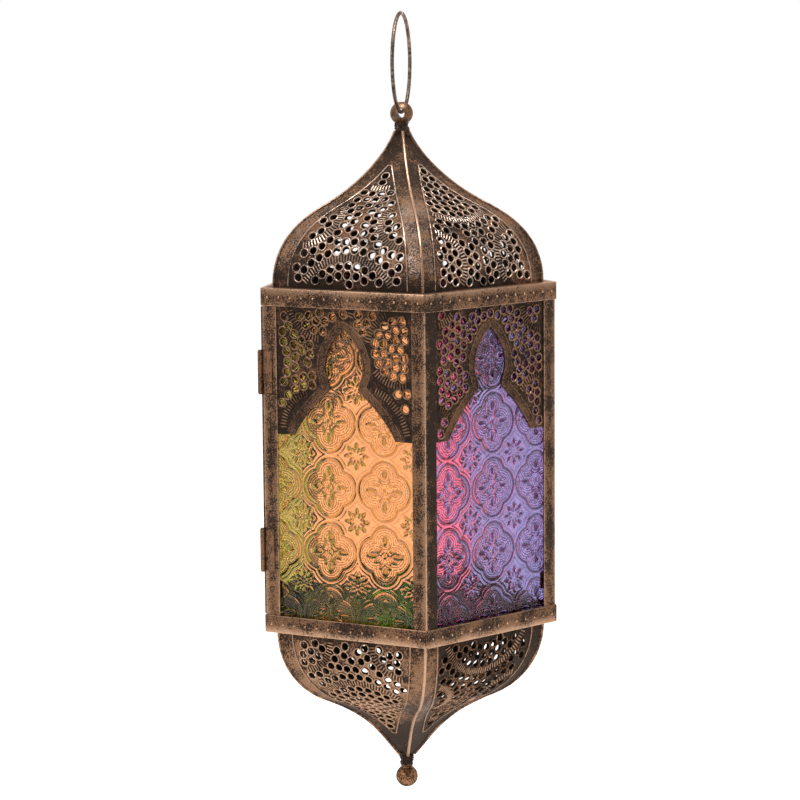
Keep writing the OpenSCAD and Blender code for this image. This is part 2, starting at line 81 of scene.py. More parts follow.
# Sections of the raised details: place across and height as shares of their size, then the wear.
RIM_SECTION = ((-0.02, -0.6, 0.1), (-0.05, 0.3, 0.5), (0.22, 0.92, 0.82), (0.5, 1.0, 0.9), (0.82, 0.7, 0.6),
               (1.1, -0.2, 0.25))
RIB_SECTION = ((-0.5, -0.3, 0.1), (-0.36, 0.6, 0.7), (0.0, 1.0, 1.0), (0.36, 0.6, 0.7), (0.5, -0.3, 0.1))
BEAD_SECTION = ((-0.5, -0.2, 0.2), (-0.3, 0.75, 0.8), (0.0, 1.0, 1.0), (0.3, 0.75, 0.8), (0.5, -0.2, 0.2))
DOT_SECTION = ((1.0, -0.1, 0.3), (0.92, 0.35, 0.8), (0.6, 0.8, 1.0), (0.2, 1.0, 1.0))
# Stations along a ladder rib: place along it and height there, as shares.
RIB_STATIONS = ((-0.5, 0.0), (-0.42, 0.85), (0.0, 1.0), (0.42, 0.85), (0.5, 0.0))


@dataclass(frozen=True)
class Levels:
    """Plan distances and heights that every sub-assembly shares, in millimetres.

    A name that ends in _a is a distance from the axis to a side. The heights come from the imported
    nodes' boxes, so that each piece sits on what carries it.
    """

    sides: int = 5
    band_a: float = 60.676
    band_wall: float = 0.8
    post_wall: float = 1.0
    post_leg: float = 7.3
    ledge_w: float = 5.7

    @property
    def half(self) -> float:
        """Half the angle between two sides, in radians."""
        return math.pi / self.sides

    @property
    def post_a(self) -> float:
        """Distance from the axis to the outside of the posts."""
        return self.band_a - self.band_wall

    @property
    def leg_in_a(self) -> float:
        """Distance from the axis to the inside of the post legs."""
        return self.post_a - self.post_wall

    @property
    def view_half(self) -> float:
        """Half the width seen between two posts."""
        return self.post_a * math.tan(self.half) - self.post_leg

    @property
    def dome_a(self) -> float:
        """Distance from the axis to a petal's foot."""
        return self.band_a - self.ledge_w

    def span(self, node: str) -> tuple[float, float]:
        """Lowest and highest z of a node.

        Args:
            node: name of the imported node.

        Returns:
            The two heights in millimetres.
        """
        low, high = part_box(node)
        return low[2] / MM, high[2] / MM


def on_side(side: Side, a: np.ndarray, u: np.ndarray, z: np.ndarray) -> np.ndarray:
    """Points given on a side, as points in the frame's axes.

    Args:
        side: the side they belong to.
        a: distances out from the axis.
        u: distances to the right, seen from outside.
        z: heights.

    Returns:
        An array of x, y, z in millimetres.
    """
    c, s = math.cos(side.turn), math.sin(side.turn)
    a, u, z = np.broadcast_arrays(np.asarray(a, float), np.asarray(u, float), np.asarray(z, float))
    return np.stack([a * c - u * s, a * s + u * c, z], axis=-1)


def circle(steps: int) -> np.ndarray:
    """Evenly spaced angles of one full turn."""
    return np.arange(steps) * 2 * math.pi / steps


def make_piece(name: str, points: np.ndarray, faces: Sequence[Sequence[int]], layers: dict[str, np.ndarray],
               material: bpy.types.Material, sharp: float) -> bpy.types.Object:
    """Make one Blender object out of closed lumps, and report it.

    Args:
        name: the piece's name.
        points: its points in millimetres.
        faces: its faces.
        layers: values per point, which the material reads by name.
        material: its material.
        sharp: edges steeper than this many degrees stay sharp.

    Returns:
        The object, linked to the scene, with its faces turned outward.
    """
    mesh = bpy.data.meshes.new(name)
    mesh.from_pydata((points * MM).tolist(), [], faces)
    mesh.validate()
    for key, values in layers.items():
        mesh.attributes.new(key, "FLOAT", "POINT").data.foreach_set("value", values.astype(np.float32))
    mesh.shade_smooth()
    mesh.set_sharp_from_angle(angle=math.radians(sharp))
    mesh.materials.append(material)
    piece = bpy.data.objects.new(name, mesh)
    bpy.context.scene.collection.objects.link(piece)
    work = bmesh.new()
    work.from_mesh(mesh)
    bmesh.ops.recalc_face_normals(work, faces=work.faces)
    work.to_mesh(mesh)
    work.free()
    log.info("%s, %d faces", name, len(mesh.polygons))
    return piece


class Shape:
    """A mesh being put together from closed lumps, with one wear value per vertex."""

    def __init__(self) -> None:
        """Start with nothing."""
        self.points: list[np.ndarray] = []
        self.wear: list[np.ndarray] = []
        self.faces: list[tuple[int, ...]] = []
        self.count = 0

    def add(self, points: np.ndarray, faces: Iterable[Sequence[int]], wear: float | np.ndarray) -> None:
        """Add one closed lump.

        Args:
            points: its points in millimetres.
            faces: its faces, numbered from its own first point.
            wear: one wear value, or one per point.
        """
        points = np.asarray(points, float).reshape(-1, 3)
        self.points.append(points)
        self.wear.append(np.broadcast_to(np.asarray(wear, float), (len(points),)).copy())
        base = self.count
        self.faces.extend(tuple(base + i for i in f) for f in faces)
        self.count += len(points)

    def loft(self, rings: np.ndarray, wear: float | np.ndarray, closed: bool = False) -> None:
        """Add a tube through rings of points.

        Args:
            rings: array of rings, points per ring, 3.
            wear: one value, or one per ring and point.
            closed: whether the last ring joins the first; otherwise both ends are capped.
        """
        rings = np.asarray(rings, float)
        m, n = rings.shape[:2]
        faces: list[tuple[int, ...]] = []
        for i in range(m if closed else m - 1):
            j = (i + 1) % m
            for k in range(n):
                q = (k + 1) % n
                faces.append((i * n + k, i * n + q, j * n + q, j * n + k))
        if not closed:
            faces.append(tuple(range(n - 1, -1, -1)))
            faces.append(tuple((m - 1) * n + k for k in range(n)))
        values = np.broadcast_to(np.asarray(wear, float), (m, n)).reshape(-1)
        self.add(rings.reshape(-1, 3), faces, values)

    def build(self, name: str, material: bpy.types.Material, sharp: float = 38.0) -> bpy.types.Object:
        """Turn the lumps into one Blender object.

        Args:
            name: the piece's name.
            material: its material.
            sharp: edges steeper than this many degrees stay sharp.

        Returns:
            The object, linked to the scene.
        """
        layers = {"wear": np.concatenate(self.wear)}
        return make_piece(name, np.concatenate(self.points), self.faces, layers, material, sharp)


@dataclass(frozen=True)
class LadderRing:
    """A ring of ladder ribs that rows of holes run round."""

    across: float
    up: float
    radius: float

    def gap(self, p: np.ndarray) -> np.ndarray:
        """Signed distance from points to the ring's centre line."""
        return np.hypot(p[..., 0] - self.across, p[..., 1] - self.up) - self.radius

    def spots(self, r: float, turn: np.ndarray) -> np.ndarray:
        """Points at a distance from the ring's centre, one per angle."""
        return np.stack([self.across + r * np.cos(turn), self.up + r * np.sin(turn)], axis=-1)


@dataclass(frozen=True)
class Piercing:
    """The pierced pattern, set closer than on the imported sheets, as in the photograph.

    The shares give the lattice's ring radii in its repeat, the dark ground under a ladder, how far a
    rib keeps from other ladders and how long it is in its ladder's width.
    """

    hole_d: float = 3.6
    web: float = 0.55
    hole_pitch: float = 4.8
    row_pitch: float = 4.2
    ladder_w: float = 4.0
    slack: float = 0.1
    rib_pitch: float = 1.5
    repeat_w: float = 56.0
    repeat_h: float = 100.0
    large_share: float = 0.5
    small_share: float = 0.3
    ground_share: float = 0.45
    clear_share: float = 0.75
    rib_share: float = 0.92
    fewest_in_row: int = 3
    fill_steps: int = 3
    tiny: float = 1e-6

    @property
    def rib_length(self) -> float:
        """Length of a ladder rib."""
        return self.rib_share * self.ladder_w

    def lattice(self, shift: float) -> list[LadderRing]:
        """Ladder rings of a petal.

        Args:
            shift: height of a row of small rings, as a share of the repeat.

        Returns:
            Large rings first, then small ones.
        """
        large, small = self.large_share * self.repeat_w, self.small_share * self.repeat_w
        rings = [LadderRing(m * self.repeat_w, (shift + 0.5 + n) * self.repeat_h, large)
                 for m in (-1, 0, 1) for n in (-1, 0, 1)]
        rings += [LadderRing(m * self.repeat_w / 2, (shift + n) * self.repeat_h, small)
                  for m in (-1, 1) for n in (-1, 0, 1)]
        return rings

    def rows(self, rings: Sequence[LadderRing], reach: float) -> list[np.ndarray]:
        """Hole centres in rows round the rings, each kept where its own ring is the nearest.

        Args:
            rings: the ladder rings.
            reach: how far the outermost row may lie from its ring.

        Returns:
            One array of centres per row.
        """
        out = []
        for j in range(int(reach / self.row_pitch) + 1):
            for ring in rings:
                for way in (-1, 1):
                    away = (self.ladder_w + self.hole_d) / 2 + self.slack + j * self.row_pitch
                    r = ring.radius + way * away
                    if r <= self.hole_pitch / 2:
                        continue
                    n = max(self.fewest_in_row, round(2 * math.pi * r / self.hole_pitch))
                    turn = (np.arange(n) + (j % 2) / 2) * 2 * math.pi / n
                    row = ring.spots(r, turn)
                    out.append(row[self.least_gap(rings, row) >= np.abs(ring.gap(row)) - self.tiny])
        return out

    def holes(self, rings: Sequence[LadderRing], reach: float, keep: Keep) -> np.ndarray:
        """Hole centres: rows round the rings first, then a staggered fill of what the rows leave.

        Args:
            rings: the ladder rings.
            reach: how far holes may lie from the middle of the foot.
            keep: says which centres lie in the pierced field.

        Returns:
            An array of centres, across and up, none nearer to another than the web allows.
        """
        fill = self.hole_d / self.fill_steps
        n = math.ceil(reach / fill)
        i, j = np.meshgrid(np.arange(-n, n + 1), np.arange(2 * n + 1))
        staggered = np.stack([(i + (j % 2) / 2) * fill, j * fill], axis=-1).reshape(-1, 2)
        places = np.concatenate(self.rows(rings, reach) + [staggered])
        clear = self.least_gap(rings, places) > (self.ladder_w + self.hole_d + self.slack) / 2
        taken = np.empty((0, 2))
        for p in places[keep(places) & clear]:
            if nearest(p[None], taken)[0] >= self.hole_d + self.web:
                taken = np.vstack([taken, p])
        return taken

    def least_gap(self, rings: Sequence[LadderRing], p: np.ndarray) -> np.ndarray:
        """Distance from points to the centre line of the nearest ladder ring."""
        return np.min([np.abs(r.gap(p)) for r in rings], axis=0)

    def on_ladder(self, rings: Sequence[LadderRing], p: np.ndarray) -> np.ndarray:
        """Which points lie under the ladder ribs."""
        return self.least_gap(rings, p) < self.ground_share * self.ladder_w

    def ribs(self, rings: Sequence[LadderRing], keep: Keep) -> list[tuple[Point, float]]:
        """Ladder ribs: the middle of each and the angle it runs at.

        Args:
            rings: the ladder rings.
            keep: says which rib centres lie in the pierced field.

        Returns:
            A list of centre and angle pairs.
        """
        out = []
        for k, ring in enumerate(rings):
            turn = circle(round(2 * math.pi * ring.radius / self.rib_pitch))
            p = ring.spots(ring.radius, turn)
            others = [r for j, r in enumerate(rings) if j != k]
            good = keep(p) & (self.least_gap(others, p) > self.clear_share * self.ladder_w)
            out += [((float(q[0]), float(q[1])), float(t)) for q, t in zip(p[good], turn[good])]
        return out


@dataclass
class PiercedSheet:
    """A pressed and pierced sheet, drawn flat and then laid on its surface.

    The sheet is a triangulated outline with round holes. Each hole gets a raised rim, and ladder
    ribs and beads stand on top as closed lumps.
    """

    outline: Sequence[Point]
    thickness: float
    place: Place
    holes: np.ndarray
    hole_r: float = 1.78
    grid: float = 2.2
    edge_clear: float = 0.55
    weld: float = 1e-5
    in_hole: float = 0.93
    hole_sides: int = 18
    rim_w: float = 0.88
    rim_h: float = 0.5
    squeeze: float = 0.07
    rib_w: float = 0.95
    rib_h: float = 0.6
    rib_tone: float = 0.88
    rib_sink: float = 0.05
    shape: Shape = field(default_factory=Shape)

    def inner_points(self) -> list[Point]:
        """A staggered grid inside the outline, clear of holes and edges.

        Returns:
            The grid's points.
        """
        loop = np.array(self.outline)
        edge = densify(loop, self.grid)
        low, high = loop.min(axis=0), loop.max(axis=0)
        out = []
        for j in range(int((high[1] - low[1]) / self.grid) + 1):
            us = np.arange(low[0] + (j % 2) * self.grid / 2, high[0], self.grid)
            row = np.stack([us, np.full_like(us, low[1] + (j + 0.5) * self.grid)], axis=-1)
            free = nearest(row, edge) > self.edge_clear * self.grid
            free &= nearest(row, self.holes) > self.hole_r + 0.5 * self.rim_w
            out += [tuple(p) for p in row[free & contains(loop, row)]]
        return out

    def triangles(self) -> tuple[np.ndarray, np.ndarray]:
        """Triangulate the outline around its holes.

        Returns:
            The flat points and the triangles, which all run the same way round.
        """
        edge = densify(np.array(self.outline), self.grid)
        turn = circle(self.hole_sides)
        loops = [[tuple(p) for p in edge]]
        for h in self.holes:
            loops.append([(h[0] + self.hole_r * math.cos(t), h[1] + self.hole_r * math.sin(t)) for t in turn])
        verts: list[Vector] = []
        edges: list[tuple[int, int]] = []
        for loop in loops:
            first = len(verts)
            verts += [Vector(p) for p in loop]
            edges += [(first + k, first + (k + 1) % len(loop)) for k in range(len(loop))]
        verts += [Vector(p) for p in self.inner_points()]
        found, _, tris, *_ = delaunay_2d_cdt(verts, edges, [], 1, self.weld)
        flat = np.array([tuple(v) for v in found])
        tris = np.array([t for t in tris if len(t) == 3])
        mid = flat[tris].mean(axis=1)
        tris = tris[contains(edge, mid) & (nearest(mid, self.holes) > self.in_hole * self.hole_r)]
        used = np.unique(tris)
        number = -np.ones(len(flat), int)
        number[used] = np.arange(len(used))
        flat, tris = flat[used], number[tris]
        area = np.cross(flat[tris[:, 1]] - flat[tris[:, 0]], flat[tris[:, 2]] - flat[tris[:, 0]])
        tris[area < 0] = tris[area < 0][:, ::-1]
        return flat, tris

    def base(self, wear: Keep) -> None:
        """Lay the plain pierced sheet.

        Args:
            wear: gives the wear value at flat points.
        """
        flat, tris = self.triangles()
        n = len(flat)
        front = self.place(flat[:, 0], flat[:, 1], np.zeros(n))
        back = self.place(flat[:, 0], flat[:, 1], np.full(n, -self.thickness))
        sides = np.concatenate([tris[:, [0, 1]], tris[:, [1, 2]], tris[:, [2, 0]]]).tolist()
        known = set(map(tuple, sides))
        faces = [tuple(t) for t in tris.tolist()]
        faces += [(c + n, b + n, a + n) for a, b, c in tris.tolist()]
        faces += [(b, a, a + n, b + n) for a, b in sides if (b, a) not in known]
        tones = np.concatenate([wear(flat), np.full(n, Wear.PIT.value)])
        self.shape.add(np.concatenate([front, back]), faces, tones)

    def rims(self, gain: float = 1.0) -> None:
        """Raise a rounded rim round each hole, each squeezed a little its own way.

        Args:
            gain: scales the wear on the rims.
        """
        rng = random.Random(len(self.holes))
        turn = circle(self.hole_sides)
        tone = np.array([[w * gain] * len(turn) for _, _, w in RIM_SECTION])
        for h in self.holes:
            lean, squeeze = rng.uniform(0, math.pi), rng.uniform(-self.squeeze, self.squeeze)
            uneven = 1 + squeeze * np.cos(2 * (turn - lean))
            rings = []
            for out, high, _ in RIM_SECTION:
                r = (self.hole_r + out * self.rim_w) * uneven
                lift = np.full(len(turn), high * self.rim_h)
                rings.append(self.place(h[0] + r * np.cos(turn), h[1] + r * np.sin(turn), lift))
            self.shape.loft(np.array(rings), tone, closed=True)

    def ribs(self, places: Iterable[tuple[Point, float]], length: float) -> None:
        """Stand ladder ribs on the sheet.

        Args:
            places: centre and angle of each rib.
            length: how long a rib is.
        """
        tones = [[self.rib_tone * w * (0.5 + 0.5 * high) for _, _, w in RIB_SECTION]
                 for _, high in RIB_STATIONS]
        for (u, v), turn in places:
            along = np.array([math.cos(turn), math.sin(turn)])
            aside = np.array([-along[1], along[0]])
            rings = []
            for far, high in RIB_STATIONS:
                p = np.array([u, v]) + along * far * length
                pts = np.array([p + aside * w * self.rib_w for w, _, _ in RIB_SECTION])
                lift = np.array([h * self.rib_h * high - self.rib_sink for _, h, _ in RIB_SECTION])
                rings.append(self.place(pts[:, 0], pts[:, 1], lift))
            self.shape.loft(np.array(rings), np.array(tones))

    def bead(self, path: Sequence[Point], width: float, height: float, tone: float) -> None:
        """Run a low bead along a flat path.

        Args:
            path: the path's points.
            width: width of the bead.
            height: height of the bead.
            tone: wear on its crest.
        """
        line = densify(np.array(path), self.grid, closed=False)
        ahead = np.roll(line, -1, axis=0) - np.roll(line, 1, axis=0)
        ahead[0], ahead[-1] = line[1] - line[0], line[-1] - line[-2]
        ahead = unit(ahead)
        aside = np.stack([-ahead[:, 1], ahead[:, 0]], axis=-1)
        cols = []
        for w, h, _ in BEAD_SECTION:
            p = line + aside * w * width
            cols.append(self.place(p[:, 0], p[:, 1], np.full(len(p), h * height)))
        tones = np.array([[w * tone for _, _, w in BEAD_SECTION]] * len(line))
        self.shape.loft(np.stack(cols, axis=1), tones)


def nearest(points: np.ndarray, others: np.ndarray) -> np.ndarray:
    """Distance from each flat point to the nearest of some others.

    Args:
        points: the points.
        others: the others, which may be none.

    Returns:
        One distance per point, endless where there are no others.
    """
    if not len(others):
        return np.full(len(points), np.inf)
    return np.min(np.hypot(*(points[:, None] - others[None]).transpose(2, 0, 1)), axis=1)


def unit(runs: np.ndarray, tiny: float = 1e-6) -> np.ndarray:
    """Flat directions scaled to length 1."""
    return runs / np.maximum(np.hypot(runs[:, 0], runs[:, 1]), tiny)[:, None]


def densify(loop: np.ndarray, least: float, closed: bool = True) -> np.ndarray:
    """Add points to a path so that none of its runs is twice as long as a given length.

    Args:
        loop: the path's points.
        least: the shortest run that is left between added points.
        closed: whether the last point joins the first.

    Returns:
        The path with its added points.
    """
    out: list[np.ndarray] = []
    for k in range(len(loop) if closed else len(loop) - 1):
        a, b = loop[k], loop[(k + 1) % len(loop)]
        n = max(1, int(math.hypot(*(b - a)) / least))
        out += [a + (b - a) * i / n for i in range(n)]
    if not closed:
        out.append(loop[-1])
    return np.array(out)


def contains(loop: np.ndarray, points: np.ndarray) -> np.ndarray:
    """Tell which points lie inside a closed loop.

    Args:
        loop: the loop's points.
        points: the points asked about.

    Returns:
        One truth value per point.
    """
    x, y = points[:, 0], points[:, 1]
    inside = np.zeros(len(points), bool)
    for a, b in zip(loop, np.roll(loop, -1, axis=0)):
        if a[1] == b[1]:
            continue
        hit = (a[1] > y) != (b[1] > y)
        inside ^= hit & (x < (b[0] - a[0]) * (y - a[1]) / (b[1] - a[1]) + a[0])
    return inside


def bezier(p: Sequence[Point], t: np.ndarray) -> np.ndarray:
    """Trace a cubic curve.

    Args:
        p: its four control points.
        t: places along it, from 0 to 1.

    Returns:
        One point per place.
    """
    q = np.array(p, float)
    t = t[:, None]
    return (1 - t)**3 * q[0] + 3 * (1 - t)**2 * t * q[1] + 3 * (1 - t) * t * t * q[2] + t**3 * q[3]


@dataclass(frozen=True)
class Ogee:
    """The ridge of a dome as two cubic pieces, in shares of its radius and height."""

    belly: tuple[Point, ...]
    tip: tuple[Point, ...]
    height: float
    samples: int = 90

    def table(self, radius: float) -> tuple[np.ndarray, np.ndarray, np.ndarray]:
        """Sample the ridge finely.

        Args:
            radius: distance from the axis to its foot.

        Returns:
            Length along the curve, points and outward normals.
        """
        t = np.linspace(0, 1, self.samples)
        curve = np.vstack([bezier(self.belly, t), bezier(self.tip, t)[1:]]) * [radius, self.height]
        run = unit(np.gradient(curve, axis=0))
        length = np.concatenate([[0], np.cumsum(np.hypot(*np.diff(curve, axis=0).T))])
        return length, curve, np.stack([run[:, 1], -run[:, 0]], axis=-1)


TOP_OGEE = Ogee(((1.0, 0.0), (1.0, 0.29), (0.795, 0.43), (0.6, 0.522)),
                ((0.6, 0.522), (0.365, 0.632), (0.141, 0.812), (0.052, 1.0)), 72.0)
BOTTOM_OGEE = Ogee(((1.0, 0.0), (1.0, 0.285), (0.807, 0.459), (0.651, 0.525)),
                   ((0.651, 0.525), (0.28, 0.683), (0.22, 0.811), (0.058, 1.0)), 69.0)


@dataclass
class Dome:
    """Five pierced petals and the ribs over their seams.

    A petal's flat points are the distance across from its middle and the length up its ridge. The
    tones are the wear on its left margin, in its field and on its right margin, with painted light
    and shade on the sides that differ. The sheet is darker towards its foot and towards its tip.
    """

    name: str
    levels: Levels
    up: int
    foot_z: float
    ogee: Ogee
    shifts: dict[Side, float]
    tones: dict[Side, tuple[float, float, float]]
    wall: float = 0.9
    sheet: float = 0.5
    seam_w: float = 1.4
    seam_proud: float = 0.55
    seam_uneven: float = 0.05
    seam_steps: int = 90
    seam_sharp: float = 50.0
    seam_tones: tuple[float, ...] = (0.1, 0.5, 0.8, 0.8, 0.5, 0.1)
    margin: float = 8.8
    foot_clear: float = 0.7
    border_steps: int = 46
    crease_out: float = 0.9
    crease_w: float = 1.0
    crease_h: float = 0.42
    crease_tone: float = 0.8
    crease_foot: float = 0.6
    crease_end: float = 0.84
    crease_steps: int = 40
    crease_least: float = 0.4
    rim_gain: tuple[float, float] = (0.62, 0.6)
    foot_darkening: float = 0.4
    foot_darkening_h: float = 9.0
    tip_darkening: float = 0.45
    tip_darkening_from: float = 0.5
    tip_darkening_over: float = 0.3
    piercing: Piercing = field(default_factory=Piercing)

    def petal(self, side: Side, material: bpy.types.Material) -> bpy.types.Object:
        """Build one petal.

        Args:
            side: the side it stands on.
            material: its material.

        Returns:
            The petal.
        """
        lv, tan = self.levels, math.tan(self.levels.half)
        length, curve, normal = self.ogee.table(lv.dome_a)
        seam = self.seam_w / 2 / math.cos(lv.half)
        rings = self.piercing.lattice(self.shifts[side])
        plain = (Wear.SHEET.value, Wear.FIELD.value, Wear.SHEET.value)
        # The listed sides' tones hold painted light and shade as well as wear.
        left, middle, right = self.tones.get(side, plain)

        def place(u: np.ndarray, s: np.ndarray, h: np.ndarray) -> np.ndarray:
            """Lay flat points on the petal's curve.

            Args:
                u: distances across.
                s: lengths up the ridge.
                h: heights above the curve.

            Returns:
                The points in the frame's axes.
            """
            a = np.interp(s, length, curve[:, 0]) + h * np.interp(s, length, normal[:, 0])
            z = np.interp(s, length, curve[:, 1]) + h * np.interp(s, length, normal[:, 1])
            return on_side(side, a, u, self.foot_z + self.up * z)

        def width(s: np.ndarray) -> np.ndarray:
            """Half the petal's width at a length up its ridge."""
            return np.interp(s, length, curve[:, 0]) * tan - seam

        def in_field(p: np.ndarray) -> np.ndarray:
            """Which centres lie in the pierced field."""
            edge = width(p[..., 1]) + seam - self.margin - self.piercing.hole_d / 2
            return (np.abs(p[..., 0]) < edge) & (p[..., 1] > self.foot_clear * self.piercing.hole_d)

        def tone(p: np.ndarray) -> np.ndarray:
            """Wear of the margins, the field and the ladders' dark ground, with painted light and shade by
            side.

            Args:
                p: flat points.

            Returns:
                One value per point.
            """
            inner = np.abs(p[:, 0]) < width(p[:, 1]) + seam - self.margin + self.crease_out
            ground = np.where(self.piercing.on_ladder(rings, p), Wear.PIT.value, middle)
            # The sheet is made darker towards its foot and towards its tip.
            past = (p[:, 1] / length[-1] - self.tip_darkening_from) / self.tip_darkening_over
            darkening = self.foot_darkening * np.clip(1 - p[:, 1] / self.foot_darkening_h, 0, 1)
            darkening += self.tip_darkening * np.clip(past, 0, 1)
            return np.where(inner, ground, np.where(p[:, 0] < 0, left, right)) - darkening

        stations = np.linspace(0, length[-1], self.border_steps)
        border = [(float(w), float(s)) for w, s in zip(width(stations), stations)]
        outline = border + [(-u, s) for u, s in reversed(border)]
        holes = self.piercing.holes(rings, self.piercing.repeat_w, in_field)
        sheet = PiercedSheet(outline, self.sheet, place, holes)
        sheet.base(tone)
        # The rims' wear follows the field's, so the painted light and shade carry over to them.
        sheet.rims(self.rim_gain[0] + self.rim_gain[1] * middle)
        sheet.ribs(self.piercing.ribs(rings, in_field), self.piercing.rib_length)
        crease = [(float(width(np.array(s)) + seam - self.margin + self.crease_out), float(s))
                  for s in np.linspace(self.crease_foot, self.crease_end * length[-1], self.crease_steps)]
        crease = [(u, s) for u, s in crease if u > self.crease_least]
        crease += [(-u, s) for u, s in reversed(crease)]
        sheet.bead(crease, self.crease_w, self.crease_h, self.crease_tone)
        piece = sheet.shape.build(f"{self.name}_petal_{side.key}_sheet", material)
        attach(piece, "lantern")
        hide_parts(f"{self.name}_petal_{side.key}")
        return piece

    def seams(self, material: bpy.types.Material) -> bpy.types.Object:
        """Build the ribs that cover the seams, with a slightly uneven soldered crest.

        Args:
            material: their material.

        Returns:
            All five ribs as one piece.
        """
        length, curve, normal = self.ogee.table(self.levels.dome_a / math.cos(self.levels.half))
        shape = Shape()
        rng = random.Random(7)
        w = self.seam_w / 2
        for side in Side:
            turn = side.turn + self.levels.half
            out = np.array([math.cos(turn), math.sin(turn), 0.0])
            aside = np.array([-out[1], out[0], 0.0])
            rings = []
            for s in np.linspace(0, length[-1], self.seam_steps):
                a, z = np.interp(s, length, curve[:, 0]), np.interp(s, length, curve[:, 1])
                na, nz = np.interp(s, length, normal[:, 0]), np.interp(s, length, normal[:, 1])
                top = self.seam_proud + rng.uniform(-self.seam_uneven, self.seam_uneven)
                half = [(w, -self.wall), (w, 0.55 * top), (0.6 * w, top)]
                section = [(-v, h) for v, h in half] + half[::-1]
                rings.append([out * (a + h * na) + aside * v
                              + np.array([0, 0, self.foot_z + self.up * (z + h * nz)]) for v, h in section])
            shape.loft(np.array(rings), np.array([self.seam_tones] * len(rings)))
        piece = shape.build(f"{self.name}_seam_ribs", material, self.seam_sharp)
        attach(piece, "lantern")
        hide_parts(f"{self.name}_ridge_ribs")
        return piece


@dataclass
class ArchPanel:
    """A pierced panel with an onion arch cut out of its foot.

    Each ladder ring is a place across, a place down from the panel's head and a radius, in shares of
    the panel's height.
    """

    levels: Levels
    side: Side
    node: str
    body: str
    face_a: float
    half_w: float
    field_half: float
    rings: Sequence[tuple[float, float, float]]
    height: float = 61.0
    wall: float = 0.6
    foot_w: float = 54.0
    lobe_w: float = 20.0
    neck_w: float = 15.0
    open_h: float = 51.0
    border: float = 4.7
    border_tone: float = 0.6
    field_tone: float = 0.42
    side_clear: float = 0.65
    foot_clear: float = 0.7
    head_clear: float = 0.55
    bead_w: float = 0.9
    bead_h: float = 0.3
    bead_tone: float = 0.75
    inner_bead: float = 0.45
    outer_bead: float = 0.6
    curve_steps: int = 14
    piercing: Piercing = field(default_factory=Piercing)

    def arch_side(self) -> np.ndarray:
        """Draw the right half of the opening in three curves.

        Returns:
            Its points from the foot to the tip.
        """
        h, foot, lobe, neck = self.open_h, self.foot_w / 2, self.lobe_w / 2, self.neck_w / 2
        t = np.linspace(0, 1, self.curve_steps)
        shoulder = bezier([(foot, 0), (0.91 * foot, 0.12 * h), (2 * neck, 0.33 * h), (neck, 0.44 * h)], t)
        bulge = bezier([(neck, 0.44 * h), (neck, 0.53 * h), (lobe, 0.57 * h), (lobe, 0.65 * h)], t)[1:]
        tip = bezier([(lobe, 0.65 * h), (lobe, 0.8 * h), (0.5 * lobe, 0.93 * h), (0, h)], t)[1:]
        return np.vstack([shoulder, bulge, tip])

    def build(self, material: bpy.types.Material) -> bpy.types.Object:
        """Build the panel and the two beads round its opening.

        Args:
            material: its material.

        Returns:
            The panel.
        """
        low, high = self.levels.span(self.node)
        arch = self.arch_side()
        full = np.vstack([arch, (arch * [-1, 1])[::-1][1:]])
        hole_d = self.piercing.hole_d
        tall = self.height
        rings = [LadderRing(x * tall, (1 - y) * tall, r * tall) for x, y, r in self.rings]

        def place(u: np.ndarray, v: np.ndarray, h: np.ndarray) -> np.ndarray:
            """Lay flat points on the panel's face, at a height above it."""
            return on_side(self.side, self.face_a + h, u, low + v)

        def from_arch(p: np.ndarray) -> np.ndarray:
            """Distance from the opening's edge.

            Args:
                p: flat points.

            Returns:
                One distance per point, negative inside the opening.
            """
            dist = np.min(np.hypot(np.abs(p[..., 0])[..., None] - arch[:, 0],
                                   p[..., 1][..., None] - arch[:, 1]), axis=-1)
            inside = np.abs(p[..., 0]) < np.interp(p[..., 1], arch[:, 1], arch[:, 0], right=-1.0)
            return np.where(inside, -dist, dist)

        def in_field(p: np.ndarray) -> np.ndarray:
            """Tell which centres lie in the pierced field.

            Args:
                p: the centres.

            Returns:
                One truth value per centre.
            """
            across, up = np.abs(p[..., 0]), p[..., 1]
            fits = (across < self.field_half - self.side_clear * hole_d) & (up > self.foot_clear * hole_d)
            fits &= up < self.height - self.head_clear * hole_d
            return fits & (from_arch(p) > self.border + hole_d / 2)

        def tone(p: np.ndarray) -> np.ndarray:
            """Wear at flat points: the border, the field and the ground under the ladders."""
            ground = np.where(self.piercing.on_ladder(rings, p), Wear.PIT.value, self.field_tone)
            return np.where(from_arch(p) < self.border, self.border_tone, ground)

        outline = [(float(u), float(v)) for u, v in full]
        edge, head = self.half_w, high - low
        outline += [(-edge, 0.0), (-edge, head), (edge, head), (edge, 0.0)]
        sheet = PiercedSheet(outline, self.wall, place, self.piercing.holes(rings, self.height, in_field))
        sheet.base(tone)
        sheet.rims()
        sheet.ribs(self.piercing.ribs(rings, in_field), self.piercing.rib_length)
        for away in (self.inner_bead, self.border - self.outer_bead):
            sheet.bead(offset(full, away), self.bead_w, self.bead_h, self.bead_tone)
        piece = sheet.shape.build(f"{self.node}_sheet", material)
        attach(piece, self.body)
        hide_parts(self.node)
        return piece


def offset(path: np.ndarray, away: float, least_v: float = 0.6) -> list[Point]:
    """Move a path to its right, for an arch drawn from its right foot over the tip.

    Args:
        path: the path's points.
        away: how far it is moved.
        least_v: moved points that aren't higher than this are left out.

    Returns:
        The moved points.
    """
    ahead = unit(np.gradient(path, axis=0))
    moved = path + np.stack([ahead[:, 1], -ahead[:, 0]], axis=-1) * away
    return [(float(u), float(v)) for u, v in moved if v > least_v]


@dataclass(frozen=True)
class Leaf:
    """One ring of a rosette's leaves.

    They are shifted by a share of a leaf's step and reach as far inward as outward from their middle.
    """

    shift: float
    middle: float
    reach: float
    half_w: float


